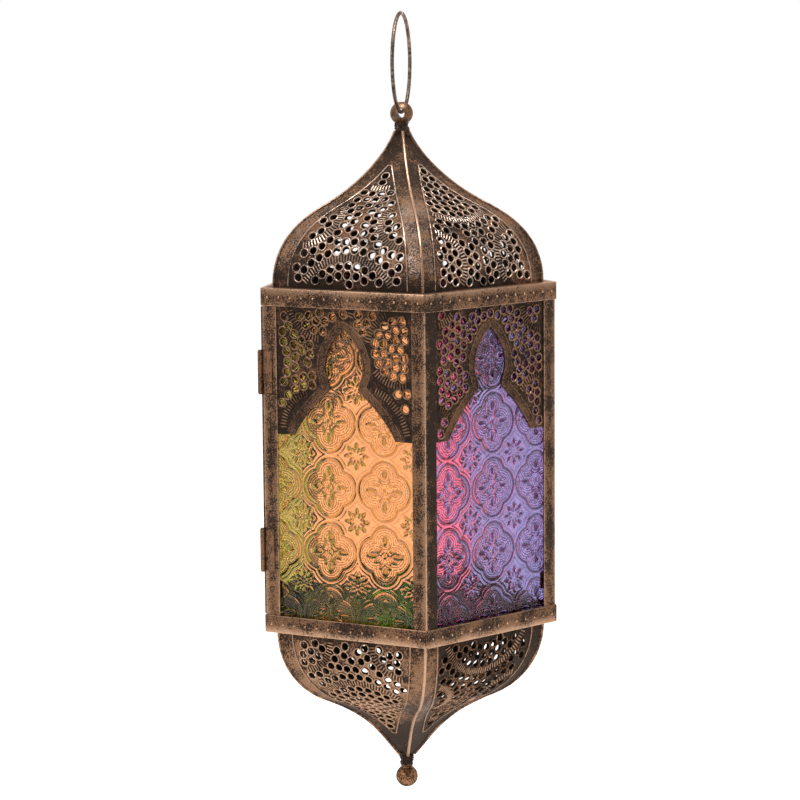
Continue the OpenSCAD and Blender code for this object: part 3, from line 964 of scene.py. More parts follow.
@dataclass
class GlassRelief:
    """Pressed relief of the panes: quatrefoils on a lattice with rosettes between them.

    A quatrefoil is the outline of two pairs of round lobes, one pair side by side and one above the
    other, with an echo outside it. It holds four drops on short stems and four hooks. In the names,
    at is a place, r a radius, w the width of a line, h a height in shares of the depth, and pool how
    much colour gathers there. Soft is how wide the smooth steps are.
    """

    pitch_w: float = 29.5
    pitch_h: float = 31.0
    depth: float = 0.5
    wide_at: float = 5.24
    wide_r: float = 8.56
    tall_at: float = 6.9
    tall_r: float = 7.18
    line_at: float = 0.2
    line_w: float = 0.65
    line_pool_half: float = 0.7
    line_pool_soft: float = 0.5
    echo_at: float = 2.0
    echo_w: float = 0.4
    echo_h: float = 0.7
    echo_pool: float = 0.55
    drop_at: Point = (7.0, 7.7)
    drop_long: Point = (2.6, 2.3)
    drop_half_w: float = 1.05
    drop_h: float = -0.9
    edge_scale: float = 1.5
    edge_w: float = 0.35
    edge_h: float = 0.5
    stem_at: Point = (2.9, 3.5)
    stem_half: Point = (1.2, 1.6)
    stem_r: float = 0.4
    stem_h: float = 0.6
    eye_r: float = 1.4
    eye_w: float = 0.45
    eye_h: float = 0.8
    eye_pool_w: float = 0.4
    eye_pool: float = 0.5
    hook_at: Point = (4.3, 4.4)
    hook_r: float = 2.2
    hook_w: float = 0.5
    hook_reach: float = 8.6
    hook_h: float = -0.8
    hook_pool: float = 0.85
    soft: float = 0.3
    ring_inset: float = 1.0
    ring_gap: float = 0.25
    leaf_step: float = math.pi / 4
    leaf_rings: tuple[Leaf, ...] = (Leaf(0.0, 4.9, 2.0, 1.05), Leaf(0.5, 3.0, 1.5, 0.5))
    leaf_bulge: float = 1.6
    leaf_h: float = -0.9
    core_r: float = 1.0
    core_w: float = 0.35
    vein_at: float = 0.4
    vein_w: float = 0.3
    vein_h: float = 0.5

    def press(self, u: np.ndarray, v: np.ndarray) -> tuple[np.ndarray, np.ndarray, np.ndarray]:
        """Relief over a pane.

        Args:
            u: distance across from a quatrefoil's centre line.
            v: distance up from a quatrefoil's centre line.

        Returns:
            Heights in millimetres, how much colour has pooled (0 to 1), and the distance that the
            fine rings are drawn with (-1 where there are none).
        """
        x = u - np.round(u / self.pitch_w) * self.pitch_w
        y = v - np.round(v / self.pitch_h) * self.pitch_h
        ax, ay, r = np.abs(x), np.abs(y), np.hypot(x, y)
        leaf = np.minimum(np.hypot(ax - self.wide_at, y) - self.wide_r,
                          np.hypot(x, ay - self.tall_at) - self.tall_r)
        line, echo = ridge(leaf - self.line_at, self.line_w), ridge(leaf - self.echo_at, self.echo_w)
        drop = np.minimum(
            np.hypot((ax - self.drop_at[0]) / self.drop_long[0], y / self.drop_half_w),
            np.hypot(x / self.drop_half_w, (ay - self.drop_at[1]) / self.drop_long[1])) - 1
        drops, edge = step(-drop, self.soft), ridge(drop * self.edge_scale - self.edge_w, self.edge_w)
        stem = np.minimum(
            np.hypot(np.maximum(np.abs(ax - self.stem_at[0]) - self.stem_half[0], 0), y),
            np.hypot(x, np.maximum(np.abs(ay - self.stem_at[1]) - self.stem_half[1], 0))) - self.stem_r
        stems, eye = step(-stem, self.soft), ridge(r - self.eye_r, self.eye_w)
        hook = np.hypot(ax - self.hook_at[0], ay - self.hook_at[1]) - self.hook_r
        hooks = np.where(ax + ay < self.hook_reach, ridge(hook, self.hook_w), 0.0)
        leaves, veins = self.rosette(u, v)
        h = line + self.echo_h * echo + self.edge_h * edge + self.stem_h * stems + self.eye_h * eye
        h += self.vein_h * veins + self.drop_h * drops + self.hook_h * hooks + self.leaf_h * leaves
        pool = step(self.line_pool_half - np.abs(leaf), self.line_pool_soft) + self.echo_pool * echo + drops
        pool += self.hook_pool * hooks + leaves + self.eye_pool * ridge(r - self.eye_r / 2, self.eye_pool_w)
        rings = np.where((leaf < -self.ring_inset) & (drop >= self.ring_gap), -leaf, -1.0)
        return self.depth * h, np.clip(pool, 0, 1), rings

    def rosette(self, u: np.ndarray, v: np.ndarray) -> tuple[np.ndarray, np.ndarray]:
        """Rosettes of eight leaves that stand between the quatrefoils.

        Args:
            u: distance across from a quatrefoil's centre line.
            v: distance up from a quatrefoil's centre line.

        Returns:
            The leaves and the lines round them, each from 0 to 1.
        """
        x = u - (np.floor(u / self.pitch_w) + 0.5) * self.pitch_w
        y = v - (np.floor(v / self.pitch_h) + 0.5) * self.pitch_h
        r, turn = np.hypot(x, y), np.arctan2(y, x)
        leaves, veins = 0.0, ridge(r - self.core_r, self.core_w)
        for ring in self.leaf_rings:
            off = turn - (np.round(turn / self.leaf_step - ring.shift) + ring.shift) * self.leaf_step
            along, aside = r * np.cos(off), np.abs(r * np.sin(off))
            taper = (np.abs(along - ring.middle) / ring.reach)**self.leaf_bulge
            full = ring.half_w * np.clip(1 - taper, 0, 1)
            inside = np.where(full > 0, aside - full, 1.0 + aside)
            leaves = np.maximum(leaves, step(-inside, self.soft))
            veins = np.maximum(veins, ridge(inside - self.vein_at, self.vein_w))
        return leaves, veins


def ridge(d: np.ndarray, width: float) -> np.ndarray:
    """A smooth ridge of height 1 where a distance is nothing."""
    return np.exp(-(d / width)**2)


def step(d: np.ndarray, width: float) -> np.ndarray:
    """A smooth step from 0 to 1 as a distance turns positive."""
    t = np.clip(d / width * 0.5 + 0.5, 0, 1)
    return t * t * (3 - 2 * t)


@dataclass
class Pane:
    """One pressed-glass pane with its relief on the outer face.

    The centre is where one quatrefoil's middle lies: across from the pane's middle, and its height.
    """

    levels: Levels
    side: Side
    node: str
    body: str
    slot_name: str
    front_a: float
    half_w: float
    thickness: float
    centre: Point
    cell: float = 0.42
    inset: float = 0.02
    sharp: float = 60.0
    relief: GlassRelief = field(default_factory=GlassRelief)

    def build(self, material: bpy.types.Material) -> bpy.types.Object:
        """Build the pane as one closed slab with a pressed face.

        Args:
            material: its material.

        Returns:
            The pane.
        """
        low, high = self.levels.span(self.node)
        nu, nv = round(2 * self.half_w / self.cell), round((high - low) / self.cell)
        u, z = np.meshgrid(np.linspace(-self.half_w, self.half_w, nu + 1), np.linspace(low, high, nv + 1))
        h, pool, rings = self.relief.press(u - self.centre[0], z - self.centre[1])
        h = np.minimum(h - self.relief.depth, 0.0) - self.inset
        front = on_side(self.side, self.front_a + h, u, z).reshape(-1, 3)
        back = on_side(self.side, self.front_a - self.thickness, u, z).reshape(-1, 3)
        index = np.arange((nu + 1) * (nv + 1)).reshape(nv + 1, nu + 1)
        corners = index[:-1, :-1], index[:-1, 1:], index[1:, 1:], index[1:, :-1]
        quads = np.stack(corners, axis=-1).reshape(-1, 4)
        rim = np.concatenate([index[0, :], index[1:, -1], index[-1, -2::-1], index[-2:0:-1, 0]])
        loop = np.arange(len(rim)) + len(front)
        sides = np.stack([rim, loop, np.roll(loop, -1), np.roll(rim, -1)], axis=-1)
        faces = quads.tolist() + sides.tolist() + [loop[::-1].tolist()]
        layers = {"rings": np.append(rings, np.full(len(rim), -1.0)),
                  "pool": np.append(pool, np.zeros(len(rim)))}
        points = np.concatenate([front, back[rim]])
        piece = make_piece(f"{self.node}_relief", points, faces, layers, material, self.sharp)
        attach(piece, self.body)
        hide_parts(self.node)
        return piece


@dataclass
class Frame:
    """Bands and corner posts: bent strips with small rounded edges.

    The posts' tones are the wear from a leg's corner to the inside of its free edge. The shaded
    leg is a darker copy, painted shade on the leg that faces away from the lamps, and the inner
    corner is painted dark as shade.
    """

    levels: Levels
    corner_r: float = 1.5
    least_r: float = 0.12
    arc_steps: int = 4
    flange_w: float = 6.8
    bend: float = 0.35
    bend_cut: float = 0.3
    raw_edge: float = 0.15
    dot_d: float = 1.2
    dot_h: float = 0.4
    dot_pitch: float = 6.2
    dot_margin: float = 3.0
    dot_sides: int = 10
    post_steps: int = 24
    post_blunt: float = 0.12
    post_round: float = 0.5
    bright_leg: tuple[float, ...] = (0.7, 0.4, 0.6, 0.95, 0.2)
    # A darker copy of the leg tones: painted shade on a leg that faces away from the lamps.
    shaded_leg: tuple[float, ...] = (0.4, 0.1, 0.2, 0.8, 0.1)

    def plan(self, a: float, r: float) -> list[Point]:
        """Draw a rounded five-sided loop.

        Args:
            a: its distance from the axis.
            r: radius of its corners.

        Returns:
            Its points.
        """
        out = []
        half = self.levels.half
        c = (a - r) / math.cos(half)
        for side in Side:
            mid = side.turn + half
            for j in range(-self.arc_steps, self.arc_steps + 1):
                turn = mid + j * half / self.arc_steps
                out.append((c * math.cos(mid) + r * math.cos(turn), c * math.sin(mid) + r * math.sin(turn)))
        return out

    def band(self, name: str, flange_up: bool, material: bpy.types.Material) -> bpy.types.Object:
        """Build one band.

        Args:
            name: the node it stands for.
            flange_up: whether the flange is at the upper edge.
            material: its material.

        Returns:
            The band.
        """
        low, high = self.levels.span(name)
        t, b, w, tall = self.levels.band_wall, self.bend, self.flange_w, high - low
        cut = self.bend_cut * b
        outside = [(0, b, 0.55), (0, tall / 2, 0.45), (0, tall - b, 0.85), (-cut, tall - cut, 1.0)]
        flange = [(-b, tall, 1.0), (-w / 2, tall, 0.5), (-w + b, tall, 0.4), (-w, tall - b, 0.5),
                  (-w, tall - t, 0.1)]
        inside = [(-t - b, tall - t, 0.0), (-t, tall - t - b, 0.0), (-t, b, 0.0)]
        foot = [(-t + self.raw_edge, 0, 0.7), (-b, 0, 1.0), (-cut, cut, 1.0)]
        rings, tone = [], []
        for out, rise, wear in outside + flange + inside + foot:
            z = low + rise if flange_up else high - rise
            loop = self.plan(self.levels.band_a + out, max(self.least_r, self.corner_r + out))
            rings.append([(x, y, z) for x, y in loop])
            tone.append([wear] * len(loop))
        shape = Shape()
        shape.loft(np.array(rings), np.array(tone), closed=True)
        self.dots(shape, (low + high) / 2)
        piece = shape.build(f"{name}_strip", material)
        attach(piece, "lantern")
        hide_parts(name)
        return piece

    def dots(self, shape: Shape, z: float) -> None:
        """Raise a row of punched dots along every side.

        Args:
            shape: the band's shape, which takes them.
            z: height of the row.
        """
        a, r = self.levels.band_a, self.dot_d / 2
        n = int(2 * (a * math.tan(self.levels.half) - self.dot_margin) / self.dot_pitch)
        turn = circle(self.dot_sides)
        tone = np.array([[w] * len(turn) for _, _, w in DOT_SECTION])
        for side in Side:
            for k in range(n + 1):
                u = (k - n / 2) * self.dot_pitch
                rings = [on_side(side, a + h * self.dot_h, u + f * r * np.cos(turn), z + f * r * np.sin(turn))
                         for f, h, _ in DOT_SECTION]
                shape.loft(np.array(rings), tone)

    def post(self, name: str, corner: Side, dark: bool, material: bpy.types.Material) -> bpy.types.Object:
        """Build one angle-strip post at the corner after a side.

        Args:
            name: the node it stands for.
            corner: the side whose right-hand corner it fills.
            dark: whether its second leg gets the darker tones of painted shade.
            material: its material.

        Returns:
            The post.
        """
        low, high = self.levels.span(name)
        lv, b = self.levels, self.bend
        cos, sin = math.cos(lv.half), math.sin(lv.half)
        run, out = np.array([-sin, cos]), np.array([cos, sin])
        tip, inner = np.array([lv.post_a / cos, 0.0]), np.array([lv.leg_in_a / cos, 0.0])
        end = tip + run * lv.post_leg
        leg = [tip + run * self.post_round, tip + run * lv.post_leg / 2, end - run * b, end - out * b,
               end - out * lv.post_wall]
        # A dark post gets painted shade on its second leg, the one on the right-hand side.
        second = self.shaded_leg if dark else self.bright_leg
        points = [tip - np.array([self.post_blunt, 0])] + leg + [inner] + [p * [1, -1] for p in reversed(leg)]
        # The inner corner's 0.0 paints the inner faces dark as shade.
        tones = (1.0, *second, 0.0, *reversed(self.bright_leg))
        c, s = math.cos(corner.turn + lv.half), math.sin(corner.turn + lv.half)
        rings = [[(p[0] * c - p[1] * s, p[0] * s + p[1] * c, z) for p in points]
                 for z in np.linspace(low, high, self.post_steps)]
        shape = Shape()
        shape.loft(np.array(rings), np.array([tones] * len(rings)))
        piece = shape.build(f"{name}_strip", material)
        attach(piece, "lantern")
        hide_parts(name)
        return piece


@dataclass
class Hanger:
    """The wire ring with its soldered joint, and the solder round the stems of both balls."""

    mean_r: float = 23.6
    wire_r: float = 0.9
    wire_uneven: float = 0.012
    wire_tone: float = 0.45
    wire_tones: Point = (-0.1, 0.25)
    wire_sides: int = 14
    ring_steps: int = 150
    joint_angle: float = 7.0
    joint_over: float = 1.5
    joint_end: float = 0.35
    joint_swell: float = 0.85
    joint_round: float = 0.6
    joint_tone: float = 0.8
    joint_steps: int = 11
    neck_top: float = 5.0
    neck_step: float = 0.5
    neck_steps: int = 15
    neck_sides: int = 16
    neck_r: float = 3.15
    neck_flare: float = 1.2
    flare_from: float = 2.2
    flare_bend: float = 1.5
    neck_uneven: float = 0.2

    def ring(self, wire: bpy.types.Material, solder: bpy.types.Material) -> None:
        """Build the ring and the soldered joint at its top.

        Args:
            wire: the ring's material.
            solder: the joint's material.
        """
        rng = random.Random(3)
        half = math.radians(self.joint_angle) / 2
        shape, bead = Shape(), Shape()
        rings, tone = [], []
        for a in np.linspace(half, 2 * math.pi - half, self.ring_steps):
            swell = 1 + rng.uniform(-self.wire_uneven, self.wire_uneven)
            rings.append(self.section(a, self.wire_r * swell))
            tone.append([self.wire_tone + rng.uniform(*self.wire_tones)] * self.wire_sides)
        shape.loft(np.array(rings), np.array(tone))
        piece = shape.build("hanging_ring_wire", wire)
        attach(piece, "hook_ring")
        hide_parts("hanging_ring")
        rings = []
        for f in np.linspace(0, 1, self.joint_steps):
            swell = self.joint_end + self.joint_swell * math.sin(math.pi * f)**self.joint_round
            rings.append(self.section(half * self.joint_over * (2 * f - 1), self.wire_r * swell))
        bead.loft(np.array(rings), self.joint_tone)
        joint = bead.build("hanging_ring_joint", solder)
        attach(joint, "hook_ring")
        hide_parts("ring_solder")

    def section(self, a: float, r: float) -> list[tuple[float, float, float]]:
        """Draw a round section of the wire.

        Args:
            a: its angle from the ring's top.
            r: its radius.

        Returns:
            Its points.
        """
        out = []
        centre = self.wire_r - self.mean_r
        for t in circle(self.wire_sides):
            reach = self.mean_r + r * math.cos(t)
            out.append((r * math.sin(t), reach * math.sin(a), centre + reach * math.cos(a)))
        return out

    def necks(self, levels: Levels, metal: bpy.types.Material) -> None:
        """Build the uneven solder that joins the balls to the domes.

        Args:
            levels: the shared heights.
            metal: its material.
        """
        for name, up in (("top", 1), ("bottom", -1)):
            tip = levels.span(f"{name}_petal_front")[1 if up > 0 else 0]
            rng = random.Random(11 + up)
            rings = []
            for k in range(self.neck_steps):
                z = self.neck_top - self.neck_step * k
                flare = max(0.0, 1 - (z + self.flare_from) / (2 * self.flare_from))**self.flare_bend
                ring = []
                for t in circle(self.neck_sides):
                    q = (self.neck_r + self.neck_flare * flare) * self.uneven(rng, 1.0)
                    ring.append((q * math.cos(t), q * math.sin(t), tip + up * self.uneven(rng, z)))
                rings.append(ring)
            lump = Shape()
            lump.loft(np.array(rings), 0.0)
            piece = lump.build(f"{name}_neck_solder", metal)
            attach(piece, "lantern")

    def uneven(self, rng: random.Random, value: float) -> float:
        """A value moved a little at random."""
        return value + rng.uniform(-self.neck_uneven, self.neck_uneven)


class Shader:
    """Small helpers that wire shader nodes."""

    def __init__(self, tree: bpy.types.NodeTree) -> None:
        """Work on one node tree."""
        self.tree = tree

    def node(self, kind: str, **values: object) -> bpy.types.Node:
        """Add a node.

        Args:
            kind: its type.
            **values: its properties or inputs, by name.

        Returns:
            The node.
        """
        made = self.tree.nodes.new(kind)
        for key, value in values.items():
            if key in made.bl_rna.properties:
                setattr(made, key, value)
            else:
                made.inputs[key.replace("_", " ")].default_value = value
        return made

    def link(self, source: bpy.types.NodeSocket, target: bpy.types.NodeSocket) -> None:
        """Join two sockets."""
        self.tree.links.new(source, target)

    def feed(self, target: bpy.types.NodeSocket, value: object) -> None:
        """Set a socket from another socket or a plain value.

        Args:
            target: the socket.
            value: what it gets.
        """
        if isinstance(value, bpy.types.NodeSocket):
            self.link(value, target)
        else:
            target.default_value = value

    def stored(self, key: str) -> bpy.types.NodeSocket:
        """Values that the mesh stores under a name."""
        return self.node("ShaderNodeAttribute", attribute_name=key).outputs["Fac"]

    def math(self, operation: str, a: object, b: object = 0.0, clamp: bool = False) -> bpy.types.NodeSocket:
        """Work out one value from two.

        Args:
            operation: the math node's operation.
            a: a socket or a number.
            b: a socket or a number.
            clamp: whether the result is kept between 0 and 1.

        Returns:
            The result's socket.
        """
        made = self.node("ShaderNodeMath", operation=operation, use_clamp=clamp)
        self.feed(made.inputs[0], a)
        self.feed(made.inputs[1], b)
        return made.outputs[0]

    def total(self, *terms: tuple[object, float]) -> bpy.types.NodeSocket:
        """Add up weighted values.

        Args:
            *terms: each a socket and its weight.

        Returns:
            The sum's socket.
        """
        out = None
        for value, weight in terms:
            term = self.math("MULTIPLY", value, weight)
            out = term if out is None else self.math("ADD", out, term)
        return out

    def noise(self, coords: bpy.types.NodeSocket, kind: tuple[float, float, float]) -> bpy.types.NodeSocket:
        """Fractal noise as one value.

        Args:
            coords: where it is looked up.
            kind: its scale per metre, detail and roughness.

        Returns:
            The value's socket.
        """
        made = self.node("ShaderNodeTexNoise", Scale=kind[0], Detail=kind[1], Roughness=kind[2])
        self.link(coords, made.inputs["Vector"])
        return made.outputs["Fac"]

    def ramp(self, value: bpy.types.NodeSocket, low: float, high: float) -> bpy.types.NodeSocket:
        """A smooth step of a value.

        Args:
            value: the value's socket.
            low: where the step is 0.
            high: where it is 1.

        Returns:
            The step's socket.
        """
        made = self.node("ShaderNodeMapRange", interpolation_type="SMOOTHSTEP", From_Min=low, From_Max=high)
        self.link(value, made.inputs["Value"])
        return made.outputs["Result"]

    def mix(self, factor: object, a: object, b: object) -> bpy.types.NodeSocket:
        """A colour between two.

        Args:
            factor: 0 for the first colour, 1 for the second.
            a: the first colour.
            b: the second colour.

        Returns:
            The colour's socket.
        """
        made = self.node("ShaderNodeMix", data_type="RGBA")
        for key, value in (("Factor", factor), ("A", a), ("B", b)):
            self.feed(made.inputs[key], value)
        return made.outputs["Result"]


def new_group(name: str, inputs: dict[str, tuple[str, object]],
              outputs: dict[str, str]) -> bpy.types.NodeTree:
    """Start a node group with its named sockets.

    Args:
        name: the group's name.
        inputs: the type and default of each input.
        outputs: the type of each output.

    Returns:
        The group, which holds no nodes yet.
    """
    group = bpy.data.node_groups.new(name, "ShaderNodeTree")
    for key, (kind, value) in inputs.items():
        group.interface.new_socket(name=key, in_out="INPUT", socket_type=kind).default_value = value
    for key, kind in outputs.items():
        group.interface.new_socket(name=key, in_out="OUTPUT", socket_type=kind)
    return group


def new_material(name: str) -> tuple[bpy.types.Material, Shader, bpy.types.Node]:
    """Start a material.

    Args:
        name: its name.

    Returns:
        The material, the helper for its node tree and its Principled BSDF.
    """
    made = bpy.data.materials.new(name)
    made.use_nodes = True
    return made, Shader(made.node_tree), made.node_tree.nodes["Principled BSDF"]


@dataclass(frozen=True)
class AgedCopper:
    """Aged copper: bright where it is rubbed, blotched with dark patina where it isn't.

    Each noise has its scale per metre, detail and roughness, and its weight in the stain. The
    stain is darkest past stain_range, and the metal is rubbed brightest past rub_range.
    """

    speck: tuple[float, float, float] = (1500, 4, 0.7)
    blotch: tuple[float, float, float] = (300, 5, 0.62)
    cloud: tuple[float, float, float] = (55, 3, 0.6)
    speck_weight: float = 1.3
    blotch_weight: float = 0.45
    cloud_weight: float = 0.7
    cover_weight: float = 0.42
    stain_range: Point = (1.23, 1.36)
    stain_share: float = 0.93
    stain_rough: float = 0.22
    stain_dull: float = 0.5
    stain_depth: float = 0.2
    rub_spread: float = 0.9
    rub_range: Point = (0.45, 1.05)
    rub_polish: float = 0.12
    shade_range: Point = (0.25, 0.75)
    shade_share: float = 0.3
    rough: float = 0.36
    metal: float = 0.85
    blotch_height: float = 0.4
    speck_height: float = 0.35

    def group(self) -> bpy.types.NodeTree:
        """Build the effect once, for every metal.

        Returns:
            A group that puts out a colour, a roughness, a metal mask and a surface height.
        """
        inputs = {"Copper": ("NodeSocketColor", (0.4, 0.2, 0.1, 1)),
                  "Worn": ("NodeSocketColor", (0.6, 0.35, 0.2, 1)),
                  "Patina": ("NodeSocketColor", (0.02, 0.016, 0.015, 1)),
                  "Wear": ("NodeSocketFloat", 0.4),
                  "Cover": ("NodeSocketFloat", 0.5),
                  "Polish": ("NodeSocketFloat", 0.0)}
        outputs = {"Color": "NodeSocketColor", "Roughness": "NodeSocketFloat", "Metal": "NodeSocketFloat",
                   "Height": "NodeSocketFloat"}
        group = new_group("aged_copper", inputs, outputs)
        s = Shader(group)
        given, out = s.node("NodeGroupInput").outputs, s.node("NodeGroupOutput").inputs
        coords = s.node("ShaderNodeTexCoord").outputs["Object"]
        speck, blotch, cloud = (s.noise(coords, kind) for kind in (self.speck, self.blotch, self.cloud))
        stain = s.total((speck, self.speck_weight), (blotch, self.blotch_weight), (cloud, self.cloud_weight),
                        (s.math("SUBTRACT", given["Cover"], given["Wear"]), self.cover_weight))
        dark = s.ramp(stain, *self.stain_range)
        spread = s.math("MULTIPLY", s.math("SUBTRACT", blotch, 0.5), self.rub_spread)
        rubbed = s.ramp(s.math("ADD", given["Wear"], spread), *self.rub_range)
        shade = s.math("MULTIPLY", s.ramp(blotch, *self.shade_range), self.shade_share)
        tone = s.mix(shade, s.mix(rubbed, given["Copper"], given["Worn"]), given["Patina"])
        s.link(s.mix(s.math("MULTIPLY", dark, self.stain_share), tone, given["Patina"]), out["Color"])
        smooth = s.math("SUBTRACT", self.rough, s.math("MULTIPLY", rubbed, self.rub_polish))
        rough = s.math("ADD", s.math("MULTIPLY", dark, self.stain_rough), smooth)
        s.link(s.math("SUBTRACT", rough, given["Polish"]), out["Roughness"])
        s.link(s.math("SUBTRACT", self.metal, s.math("MULTIPLY", dark, self.stain_dull)), out["Metal"])
        relief = s.total((blotch, self.blotch_height), (speck, self.speck_height))
        s.link(s.math("SUBTRACT", relief, s.math("MULTIPLY", dark, self.stain_depth)), out["Height"])
        return group


@dataclass(frozen=True)
class Shift:
    """A colour that takes over one of a finish's own along one axis of the object, in metres, to paint light
    or shade.
    """

    socket: str
    axis: str
    start: float
    end: float
    colour: Colour


@dataclass(frozen=True)
class CopperFinish:
    """One metal finish: its copper, its rubbed copper and how much patina covers it.

    Without a wear of its own, it reads the wear that is stored in the mesh. Its shift paints light or
    shade into one of its colours.
    """

    name: str
    copper: Colour
    worn: Colour
    cover: float
    wear: float | None = None
    bump: float = 0.4
    bump_h: float = 0.0004
    polish: float = 0.0
    shift: Shift | None = None
    patina: Colour = (0.009, 0.006, 0.005)
    specular: float = 0.25
    sheen: Colour = (1.0, 0.8, 0.68)

    def material(self, group: bpy.types.NodeTree) -> bpy.types.Material:
        """Build the material.

        Args:
            group: the aged copper group.

        Returns:
            The material.
        """
        made, s, shader = new_material(self.name)
        copper = s.node("ShaderNodeGroup")
        copper.node_tree = group
        own = {"Copper": self.copper, "Worn": self.worn, "Patina": self.patina}
        for key, colour in own.items():
            copper.inputs[key].default_value = (*colour, 1)
        if self.shift is not None:
            place = s.node("ShaderNodeSeparateXYZ")
            s.link(s.node("ShaderNodeTexCoord").outputs["Object"], place.inputs["Vector"])
            share = s.ramp(place.outputs[self.shift.axis], self.shift.start, self.shift.end)
            s.link(s.mix(share, (*own[self.shift.socket], 1), (*self.shift.colour, 1)),
                   copper.inputs[self.shift.socket])
        wear = s.stored("wear") if self.wear is None else self.wear
        s.feed(copper.inputs["Wear"], wear)
        copper.inputs["Cover"].default_value = self.cover
        copper.inputs["Polish"].default_value = self.polish
        shader.inputs["Specular IOR Level"].default_value = self.specular
        shader.inputs["Specular Tint"].default_value = (*self.sheen, 1)
        s.link(copper.outputs["Color"], shader.inputs["Base Color"])
        s.link(copper.outputs["Roughness"], shader.inputs["Roughness"])
        s.link(copper.outputs["Metal"], shader.inputs["Metallic"])
        bump = s.node("ShaderNodeBump", Strength=self.bump, Distance=self.bump_h)
        s.link(copper.outputs["Height"], bump.inputs["Height"])
        s.link(bump.outputs["Normal"], shader.inputs["Normal"])
        return made


@dataclass(frozen=True)
class PressedGlass:
    """Fine dotted rings and a faint waviness on the glass.

    The rings come from the distance stored in the mesh, and a noise breaks them into dots.
    """

    pitch: float = 1.15
    grain: tuple[float, float, float] = (1300, 2, 0.5)
    grain_range: Point = (0.3, 0.6)
    dot_range: Point = (-0.3, 0.8)
    start_range: Point = (0.0, 0.3)
    ripple: tuple[float, float, float] = (160, 2, 0.5)
    ripple_height: float = 0.1
    dot_pool: float = 1.3

    def group(self) -> bpy.types.NodeTree:
        """Build the effect once, for every glass.

        Returns:
            A group that puts out a surface height and how much colour has pooled.
        """
        inputs = {"Rings": ("NodeSocketFloat", 0.0), "Pool": ("NodeSocketFloat", 0.0),
                  "Pitch": ("NodeSocketFloat", self.pitch)}
        group = new_group("pressed_glass", inputs, {"Height": "NodeSocketFloat", "Pool": "NodeSocketFloat"})
        s = Shader(group)
        given, out = s.node("NodeGroupInput").outputs, s.node("NodeGroupOutput").inputs
        coords = s.node("ShaderNodeTexCoord").outputs["Object"]
        turn = s.math("MULTIPLY", s.math("DIVIDE", given["Rings"], given["Pitch"]), 2 * math.pi)
        grain = s.ramp(s.noise(coords, self.grain), *self.grain_range)
        dots = s.math("MULTIPLY", s.ramp(s.math("SINE", turn), *self.dot_range), grain)
        dots = s.math("MULTIPLY", dots, s.ramp(given["Rings"], *self.start_range))
        ripple = s.math("MULTIPLY", s.noise(coords, self.ripple), self.ripple_height)
        s.link(s.math("ADD", dots, ripple), out["Height"])
        s.link(s.math("ADD", given["Pool"], s.math("MULTIPLY", dots, self.dot_pool), clamp=True), out["Pool"])
        return group


@dataclass(frozen=True)
class GlassFinish:
    """One glass colour, and its deeper tone where the relief holds more of it."""

    name: str
    tint: Colour
    deep: Colour
    roughness: float = 0.03
    ior: float = 1.48
    stipple: float = 0.33
    stipple_h: float = 0.0003
    gloss: float = 0.5

    def material(self, group: bpy.types.NodeTree) -> bpy.types.Material:
        """Build the material.

        Args:
            group: the pressed glass group.

        Returns:
            The material.
        """
        made, s, shader = new_material(self.name)
        pressed = s.node("ShaderNodeGroup")
        pressed.node_tree = group
        for key in ("rings", "pool"):
            s.link(s.stored(key), pressed.inputs[key.title()])
        s.link(s.mix(pressed.outputs["Pool"], (*self.tint, 1), (*self.deep, 1)), shader.inputs["Base Color"])
        shader.inputs["Roughness"].default_value = self.roughness
        shader.inputs["IOR"].default_value = self.ior
        shader.inputs["Specular Tint"].default_value = (self.gloss, self.gloss, self.gloss, 1)
        shader.inputs["Transmission Weight"].default_value = 1.0
        bump = s.node("ShaderNodeBump", Strength=self.stipple, Distance=self.stipple_h)
        s.link(pressed.outputs["Height"], bump.inputs["Height"])
        s.link(bump.outputs["Normal"], shader.inputs["Normal"])
        return made


@dataclass(frozen=True)
class Lamp:
    """One square soft light: its place and width in metres, and its power in watts."""

    name: str
    at: tuple[float, float, float]
    size: float
    power: float

    def hang(self, aim: Vector) -> None:
        """Hang the lamp so that it faces a point.

        Args:
            aim: the point, in metres.
        """
        data = bpy.data.lights.new(self.name, "AREA")
        data.size, data.energy = self.size, self.power
        lamp = bpy.data.objects.new(self.name, data)
        lamp.location = self.at
        lamp.rotation_euler = (aim - Vector(self.at)).to_track_quat("-Z", "Y").to_euler()
        bpy.context.scene.collection.objects.link(lamp)


